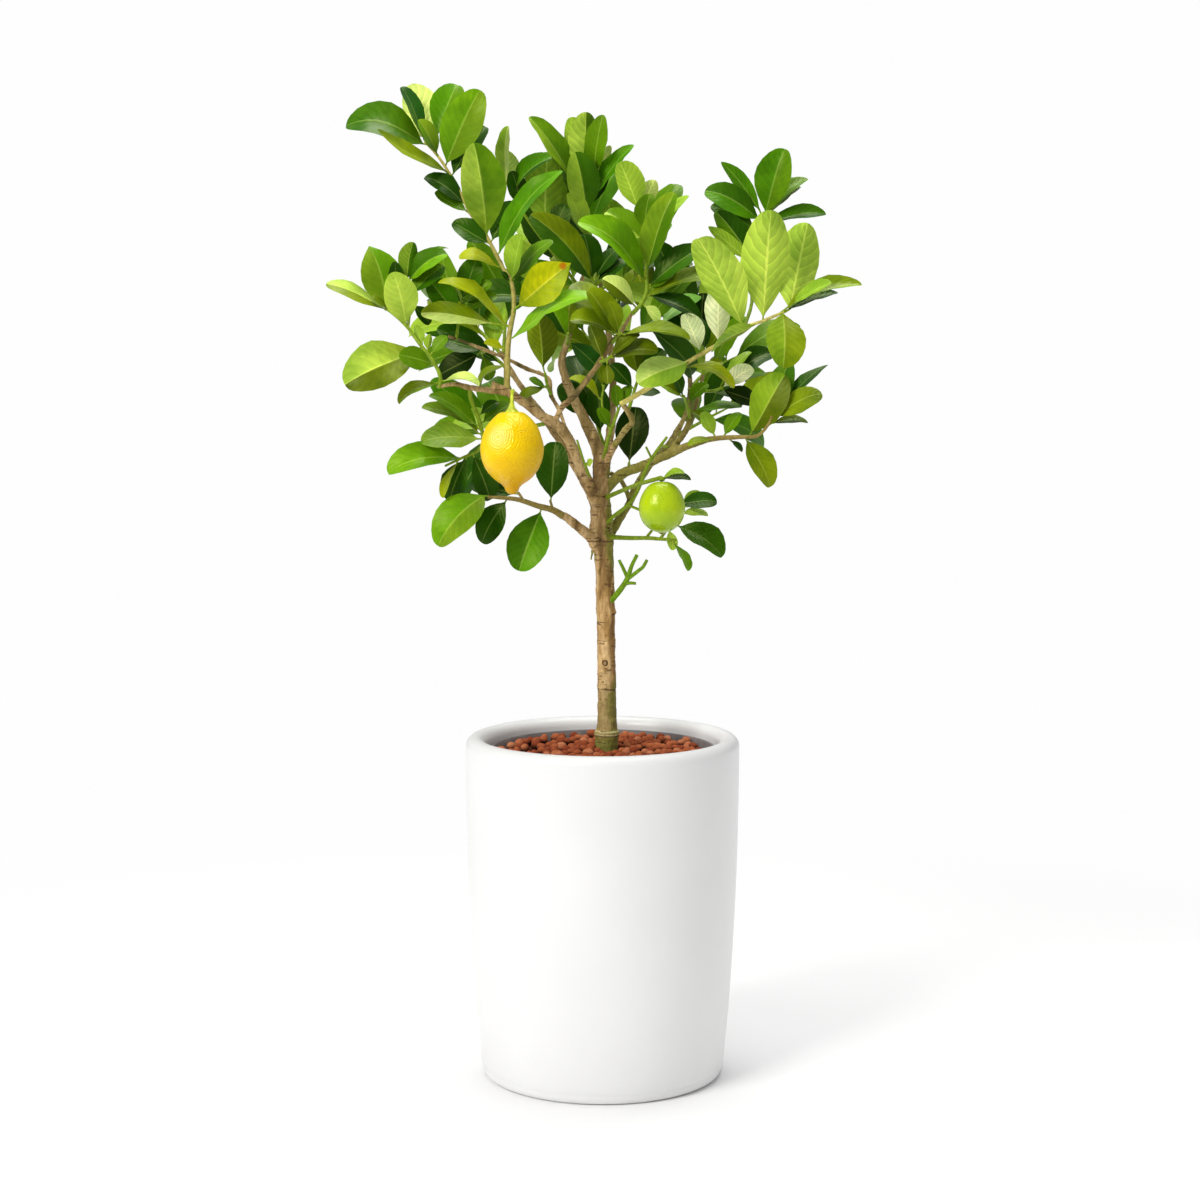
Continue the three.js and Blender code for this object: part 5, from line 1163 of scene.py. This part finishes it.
def grow_leaves(route, count, seed):
    """Leaves set in turn round a stem that the picture doesn't show."""
    draws = seeded(seed)
    points = [on_route(point) for point in route]
    turned_by = 2 * math.pi * next(draws)
    for i in range(count):
        share = part_way(STRETCH, i / (count - 1))
        ahead = min(share, 0.98)
        along = (along_curve(points, ahead + 0.0001) - along_curve(points, ahead - 0.0001)).normalized()
        out = Quaternion(along, turned_by + TURN * i) @ Vector((0, 0, 1)).cross(along).normalized()
        lean = END_OPEN if i == count - 1 else OPEN
        way = along * math.cos(lean) + out * math.sin(lean)
        way.z += LIFT
        way.normalize()
        length = part_way(GROWN_LENGTH, next(draws))
        root = along_curve(points, share)
        base = root + way * GROWN_STALK
        yield {"root": root, "base": base, "tip": base + way * length, "wide": SLENDER * length,
               "up": TO_LIGHT, "arch": part_way(GROWN_ARCH, next(draws)), "pointed": 0,
               "tone": GROWN_TONES[(i + seed) % len(GROWN_TONES)]}


def swing_tip(leaf, solid):
    """Swings the leaf's tip as the frame's solid does. False where the solid has no such leaf."""
    for swing in SWINGS:
        tip = leaf["tip"] + Vector((0, swing / 1000, 0))
        if np.min(np.linalg.norm(solid - np.array(tip), axis=1)) < NEAR_TIP:
            leaf["tip"] = tip
            return True
    return False


def square(way, along):
    return (way - along * way.dot(along)).normalized()


def upper_side(leaf, along):
    """The way that the upper face looks, at right angles to the blade's length."""
    if "up" in leaf:
        return square(leaf["up"], along)
    face = square(EYE - leaf["base"], along)
    across = along.cross(face)
    if across.z < 0:
        across.negate()
    return face * math.cos(leaf["roll"]) + across * math.sin(leaf["roll"])


def widest(leaf, length):
    if "wide" in leaf:
        return leaf["wide"]
    return min(1.02 * leaf["seen"] / max(abs(math.cos(leaf["roll"])), 0.36), BROADEST * length)


def shape_leaf(leaf, draws):
    """The points of one leaf, from its stalk in the stem to its tip, and their places on the vein pattern."""
    root, tip = leaf["root"], leaf["tip"]
    along = (tip - leaf["base"]).normalized()
    stalk = leaf["base"] - root
    if stalk.length < SHORT_STALK or stalk.dot(along) < STALK_LEAN * stalk.length:
        leaf["base"] = root + along * max(SHORT_STALK, 0.6 * stalk.length)
        stalk = leaf["base"] - root
    base = leaf["base"]
    length = (tip - base).length
    up = upper_side(leaf, along)
    side = along.cross(up)
    wide = widest(leaf, length)
    fold = draws.uniform(0.12, 0.46)
    curl = draws.uniform(-0.04, 0.12)
    waves = draws.uniform(1.2, 2.6)
    wave = draws.uniform(0.006, 0.024) * length
    phases = (draws.uniform(0, 6.3), draws.uniform(0, 6.3))
    slender = min(1.0, max(leaf["pointed"], (0.44 - wide / length) / 0.14))
    lead = draws.uniform(1.02, 1.2) - 0.16 * slender  # where the blade is widest
    droop = draws.uniform(0.1, 0.75)  # how much of the arch falls past the middle
    # a broad blade has a round tip
    sharp = draws.uniform(0.42, 0.54) + 0.26 * slender + 0.5 * leaf["pointed"]
    twist = draws.uniform(-0.3, 0.3)
    sway = draws.uniform(-0.03, 0.03) * length
    turn = along.rotation_difference(stalk.normalized())
    points, marks = [], []
    for row, corner in zip(leaf_rows, leaf_corners):
        c, rise = ACROSS[corner]
        if row < len(STALK_ROWS):
            t = STALK_ROWS[row]
            angle = math.pi * (1 - corner / 4)
            bend = turn.slerp(Quaternion(), 0.75 * t)
            middle = root.lerp(base, t) + (stalk.normalized() - along) * stalk.length * 0.4 * t * (1 - t)
            points.append(middle + STALK_THICK[row] * ((bend @ side) * math.cos(angle)
                                                       + (bend @ up) * math.sin(angle)))
            marks.append((0.5 + 0.02 * c, -0.3 + 0.28 * t))
            continue
        s = BLADE_ROWS[row - len(STALK_ROWS)]
        half = wide / 2 * math.sin(math.pi * s ** lead) ** (0.78 + (sharp - 0.78) * s)
        half = max(half, LEAST_HALF[0 if s < 0.5 else 1])
        bow = 4 * s * (1 - s)
        slope = leaf["arch"] * (4 * (1 - 2 * s) * (1 + droop * (2 * s - 1)) + 2 * droop * bow)
        normal = (up - along * slope).normalized()
        arched = up * leaf["arch"] * length * bow * (1 + droop * (2 * s - 1))
        spin = Quaternion(along, twist * (s - 0.4))
        edge = abs(c) ** 1.25
        ripple = wave * math.sin(2 * math.pi * waves * s + phases[c >= 0]) * edge * math.sin(math.pi * s)
        lift = half * edge * math.sin(fold) - curl * half * c * c + ripple
        points.append(base.lerp(tip, s) + arched + side * sway * bow
                      + (spin @ side) * (half * c * math.cos(fold))
                      + (spin @ normal) * (lift + rise * 0.001 * min(1, half * 200)))
        marks.append((0.5 + 0.5 * c, s))
    return points, marks


def leaf_tints(leaf):
    """The tint of each face, by side and by half of the blade, where a half or a foot toned apart from the
    rest is painted shade and light. Its alpha is 1 where the face is glossy.
    """
    halves, _, foot = leaf["tone"].partition(":")
    halves = halves.split("/")
    shows_upper = "up" in leaf or math.cos(leaf["roll"]) > 0
    tints = []
    for around in leaf_faces:
        row = max(leaf_rows[i] for i in around)
        corners = [leaf_corners[i] for i in around]
        if row < len(STALK_ROWS) or len(around) > 4:
            tints.append((*STALK_TONE[:3], 0.4))
            continue
        upper = sum(ACROSS[c][1] for c in corners) >= 0
        left = sum(ACROSS[c][0] for c in corners) < 0
        tone = np.array(TONES[halves[0 if left else -1]][:3])
        if foot:
            share = max(0.0, 1 - BLADE_ROWS[row - len(STALK_ROWS)] / 0.7)
            tone = tone + share * (np.array(TONES[foot][:3]) - tone)
        if upper != shows_upper:
            tone = (0.45 * tone + 0.55 * np.array(UNDERSIDE[:3]) if shows_upper
                    else 0.5 * tone + 0.5 * np.array(TONES["mid"][:3]))
        tints.append((*tone, 1.0 if upper else 0.0))
    return tints


def leaf_finish():
    """Tinted by leaf, with a light midrib and side veins, a mottle, and gloss on the upper side. Over the
    tint lie painted shade and light: broad patches, a quilting darker just past each side vein and lighter
    before the next, a foot darker than the rest of the blade, and a thin light edge that is partly the pale
    margin and partly a painted rim light.
    """
    leaf = Finish("lemon_leaf", specular_ior_level=0.2, specular_tint=(0.9, 1, 0.3, 1))
    tint = leaf.tint()
    gloss = tint["Alpha"]
    pattern = leaf.pattern()
    aside = pattern["X"] - 0.5
    out = aside.absolute() * 2
    up = pattern["Y"]
    count = (up * 8.5 - out.maths("POWER", 1.25) * 2.1 + aside.maths("SIGN") * 0.24
             + leaf.noise(90, detail=1.0) * 0.5)
    cell = count.maths("FRACT")
    from_vein = (cell - 0.5).absolute() * 2  # 1 on a side vein, 0 midway between two
    fade = out.band(0.75, 1.0, 1.0, 0.2)
    midrib = out.band(0.025, 0.075, 1.0, 0.0)
    blade = up.band(-0.01, 0.02)
    mottle = leaf.noise(60, detail=3.0, rough=0.6)
    relief = gloss * -0.45 + 0.8  # the veins show less on the glossy side
    # painted shade and light in broad patches across the leaf, with its own mottle
    shaded = (mottle * 0.4 + leaf.noise(18, detail=1.0) * 0.6).band(0.36, 0.64).blend(
        (0.68, 0.76, 0.64, 1), (1.28, 1.2, 1.3, 1))
    # painted shade: a quilting darker just past each side vein and lighter before the next, and a darker foot
    painted_quilt = (cell.band(0.0, 1.0, -0.16, 0.12) * relief + 1) * up.band(0.0, 0.45, 0.84, 1.0)
    painted_quilt_colour = leaf.node("ShaderNodeCombineColor", None, {"Red": painted_quilt, "Green": painted_quilt, "Blue": painted_quilt})
    colour = leaf.mixed(1.0, leaf.mixed(1.0, tint, shaded, "MULTIPLY"), painted_quilt_colour, "MULTIPLY")
    raised = leaf.mixed(1.0, colour, (1.9, 1.6, 1.8, 1), "MULTIPLY")
    # the thin light edge is partly the pale margin and partly a painted rim light
    veins = (from_vein.band(0.80, 0.97) * fade * relief * 0.45).maths("MAXIMUM", out.band(0.9, 0.97) * 0.1)
    colour = (veins * blade).blend(colour, raised)
    colour = (midrib * blade * (gloss * -0.3 + 0.85)).blend(colour, leaf.mixed(0.3, raised, MIDRIB_TONE))
    colour = leaf.far_from(DRY_TIP).band(0.002, 0.005, 0.9, 0.0).blend(colour, paint(176, 96, 8))
    leaf.surface(base_color=colour, roughness=gloss * -0.2 + mottle * 0.08 + 0.5)
    leaf.bump(from_vein.band(0.0, 1.0) * -0.6 * blade * fade - midrib * 0.6, 0.0006, 0.24)
    return leaf


def twig_finish():
    twig = Finish("green_twig", roughness=0.5, specular_ior_level=0.25, specular_tint=(0.9, 1, 0.4, 1))
    streaks = twig.noise(260, detail=4.0, rough=0.65)
    worn = streaks.band(0.3, 0.75).blend((0.7, 0.66, 0.6, 1), (1.15, 1.15, 1.1, 1))
    twig.surface(base_color=twig.mixed(1.0, twig.tint(), worn, "MULTIPLY"))
    twig.bump(streaks, 0.0004, 0.45)
    return twig


leaf_skin = leaf_finish()
twig_skin = twig_finish()


def build_spray(node, stems, leaves):
    """One leafy twig: its stems, and each leaf where the frame's solid has it."""
    name = node + "_twig"
    solid = np.array([vertex.co for vertex in frame["nodes"][node].data.vertices])
    draws = random.Random(node)
    copies = []
    for leaf in leaves:
        if swing_tip(leaf, solid):
            points, marks = shape_leaf(leaf, draws)
            copies.append((points, leaf_faces, leaf_tints(leaf), marks))
    twigs = grow_stems(name if not copies else node + "_stems", stems, 2, 3, draws, 0.05)
    tint = twigs.data.color_attributes.new("tint", "FLOAT_COLOR", "CORNER")
    tint.data.foreach_set("color", TWIG_TONES[TWIG_OF.get(node, "green")] * len(twigs.data.loops))
    coat(twigs, twig_skin)
    piece = twigs
    if copies:
        twigs.data.uv_layers.new(name="pattern")
        piece = gather(name, copies)
        coat(piece, leaf_skin)
        join_pieces(piece, twigs)
    smooth(piece, 50)
    settle(piece, node)


for node, (stems, rows) in SPRAYS.items():
    build_spray(node, stems, [place_leaf(stems, *row) for row in rows])
for node, (count, seed, route) in GROWN.items():
    build_spray(node, [route], grow_leaves(route, count, seed))

# ---------------------------------------------------------------- ripe lemon
# One fruit that hangs from the left limb on an arched stalk with a green cup. Its rind is deep yellow, waxy
# and pitted with oil glands, a little greener at the stalk, and drawn out to a nipple at the far end. Its
# colour holds painted shade low down and on the right, and a painted highlight on the rings at its upper
# left.

LEMON_MIDDLE = on_route((512, 452, -68))
LEMON_RADIUS, LEMON_LENGTH = 0.0302, 0.079
LEMON_OUTLINE = [(0.04, 0.478), (0.3, 0.478), (0.42, 0.46), (0.59, 0.405), (0.74, 0.337), (0.84, 0.271),
                 (0.958, 0.139), (1, 0.047), (0.968, -0.059), (0.923, -0.125), (0.856, -0.191),
                 (0.746, -0.257), (0.577, -0.323), (0.43, -0.363), (0.32, -0.392), (0.245, -0.424),
                 (0.21, -0.456), (0.15, -0.487), (0.07, -0.505), (0.02, -0.51)]
# the heights from the middle over which the painted shade low down, the greener shoulder and the nipple come
# in
LEMON_PAINTED_SHADE, LEMON_SHOULDER, LEMON_NIPPLE = (-0.03, 0.045), (0.028, 0.039), (-0.04, -0.036)
CHEEK = LEMON_MIDDLE + Vector((-0.013, -0.026, 0.016))  # the middle of the waxy rings that catch the light, where a highlight is painted
LEMON_STALK = [(512, 392, -38, 2.2), (513, 391, -50, 1.9), (512, 396, -62, 1.6), (512, 405, -67, 1.7)]
CUP_RADIUS, CUP_HEIGHT, CUP_LOBES = 0.0068, 0.0085, 5
CUP_MIDDLE = LEMON_MIDDLE + Vector((0, 0, 0.0385))
CUP_OUTLINE = [(0.2, -0.35), (0.9, -0.28), (1, -0.14), (0.8, 0.08), (0.52, 0.34), (0.36, 0.66), (0.27, 1)]


def model_fruit(name, outline, radius, length, middle, sides, rings):
    """A fruit turned on its outline of shares of its radius and length, from its far end up to its stalk."""
    points = [Vector((r * radius, z * length, 0)) for r, z in reversed(outline)]
    profile = [along_curve(points, i / rings) for i in range(rings + 1)]
    fruit = turned(name, [(max(p.x, 0.0004), p.y) for p in profile], sides)
    fruit.data.transform(Matrix.Translation(middle))
    return fruit


def pits(rind, scale):
    """How far it is to the middle of the nearest oil gland, in shares of their spacing."""
    return rind.node("ShaderNodeTexVoronoi", {"feature": "SMOOTH_F1"},
                     {"Vector": rind.here(), "Scale": scale})["Distance"]


lemon = model_fruit("ripe_lemon", LEMON_OUTLINE, LEMON_RADIUS, LEMON_LENGTH, LEMON_MIDDLE, 112, 90)
swell(lemon, "lemon_form", "CLOUDS", 0.022, 0.0011)
swell(lemon, "lemon_pits", "VORONOI", 0.0022, 0.0002)
smooth(lemon, 60)

rind = Finish("lemon_rind", specular_ior_level=0.5, specular_tint=(1, 0.94, 0.35, 1))
glands = pits(rind, 420)
creases = (rind.noise(120, stretch=(0.55, 0.55, 1), distortion=1.6) - 0.5).absolute()
from_cheek = rind.far_from(CHEEK)
ridges = (from_cheek * 2300 + rind.noise(70, detail=3.0) * 15).maths("SINE")
at = rind.axes()
rise = at["Z"] - LEMON_MIDDLE.z
flesh = rind.noise(40, detail=3.0).band(0.35, 0.7).blend(paint(240, 196, 0), paint(252, 212, 0))
# painted shade: deeper gold low down and on the right, away from the light
flesh = (rise - at["X"] * 0.35).band(*LEMON_PAINTED_SHADE, 1.0, 0.0).blend(flesh, paint(200, 140, 0))
# painted highlight: pale rings on the cheek, where the light catches them
painted_highlight = from_cheek.band(0.002, 0.017, 0.9, 0.0) * ridges.band(-0.8, 0.6, 0.35, 1.0)
flesh = painted_highlight.blend(flesh, paint(255, 242, 140))
flesh = rise.band(*LEMON_SHOULDER, 0.0, 0.5).blend(flesh, paint(206, 196, 8))
flesh = rise.band(*LEMON_NIPPLE, 0.5, 0.0).blend(flesh, paint(186, 160, 8))
rind.surface(base_color=glands.band(0.0, 0.45, 0.14, 0.0).blend(flesh, paint(214, 156, 0)),
             roughness=from_cheek.band(0.012, 0.03, 0.13, 0.34))
wrinkles = ridges * from_cheek.band(0.005, 0.03, 0.55, 0.08)
rind.bump(creases.band(0.0, 0.12) * 0.6 + glands * 0.16 + wrinkles, 0.0009, 0.5)
settle(lemon, "lemon", rind)

cup = turned("lemon_cup", [(r * CUP_RADIUS, z * CUP_HEIGHT) for r, z in CUP_OUTLINE], CUP_LOBES * 8)
for vertex in cup.data.vertices:  # the lower edge of the cup spreads in lobes
    low = max(0.0, 0.3 - vertex.co.z / CUP_HEIGHT)
    vertex.co.xy *= 1 + 0.25 * low * math.cos(CUP_LOBES * math.atan2(vertex.co.y, vertex.co.x))
cup.data.transform(Matrix.Translation(CUP_MIDDLE))
stalk = join_pieces(grow_stems("lemon_stalk_arch", [LEMON_STALK], 3, 5, random.Random(3), 0.03), cup)
smooth(stalk, 50)
stalk_skin = Finish("green_stalk", roughness=0.5)
streak = stalk_skin.noise(240, detail=3.0)
stalk_skin.surface(base_color=stalk_skin.ramp(
    streak, (0.3, paint(166, 176, 24)), (0.55, paint(196, 208, 34)), (0.75, paint(212, 218, 70))))
stalk_skin.bump(streak, 0.0005, 0.6)
settle(stalk, "lemon_stalk", stalk_skin)

# ---------------------------------------------------------------- green lemon
# A small unripe fruit on the right, nearly round. Its rind is bright yellow green, pitted and waxy, with a
# dried brown tip, and its lower part is darkened as painted shade.

GREEN_MIDDLE = on_route((662, 507, -57))
GREEN_RADIUS, GREEN_LENGTH = 0.0222, 0.050
GREEN_OUTLINE = [(0.05, 0.485), (0.3, 0.474), (0.58, 0.41), (0.83, 0.27), (0.965, 0.11), (1, -0.01),
                 (0.965, -0.14), (0.83, -0.29), (0.6, -0.4), (0.35, -0.462), (0.17, -0.487),
                 (0.11, -0.512), (0.03, -0.52)]
GREEN_TIP = GREEN_MIDDLE - Vector((0, 0, 0.0262))
green_lemon = model_fruit("green_lemon_fruit", GREEN_OUTLINE, GREEN_RADIUS, GREEN_LENGTH, GREEN_MIDDLE,
                          96, 70)
swell(green_lemon, "green_pits", "VORONOI", 0.0018, 0.0003)
smooth(green_lemon, 60)

green_rind = Finish("green_lemon_rind", roughness=0.24, specular_ior_level=0.6,
                    specular_tint=(0.95, 1, 0.55, 1))
glands = pits(green_rind, 480)
flesh = green_rind.noise(50).band(0.3, 0.7).blend(paint(160, 192, 4), paint(182, 208, 12))
rise = green_rind.axes()["Z"] - GREEN_MIDDLE.z
# painted shade: darker low down
flesh = rise.band(-0.022, 0.004, 0.6, 0.0).blend(flesh, paint(112, 150, 2))
flesh = green_rind.far_from(GREEN_TIP).band(0.002, 0.0048, 0.95, 0.0).blend(flesh, paint(84, 52, 14))
green_rind.surface(base_color=glands.band(0.0, 0.45, 0.18, 0.0).blend(flesh, paint(104, 144, 2)))
green_rind.bump(glands * 0.5 + green_rind.noise(110, detail=1.0, distortion=1.2), 0.0006, 0.5)
settle(green_lemon, "green_lemon", green_rind)

boxes = {"cad": cad_box, "visual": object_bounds()}
{name: [list(corner) for corner in box] for name, box in boxes.items()}
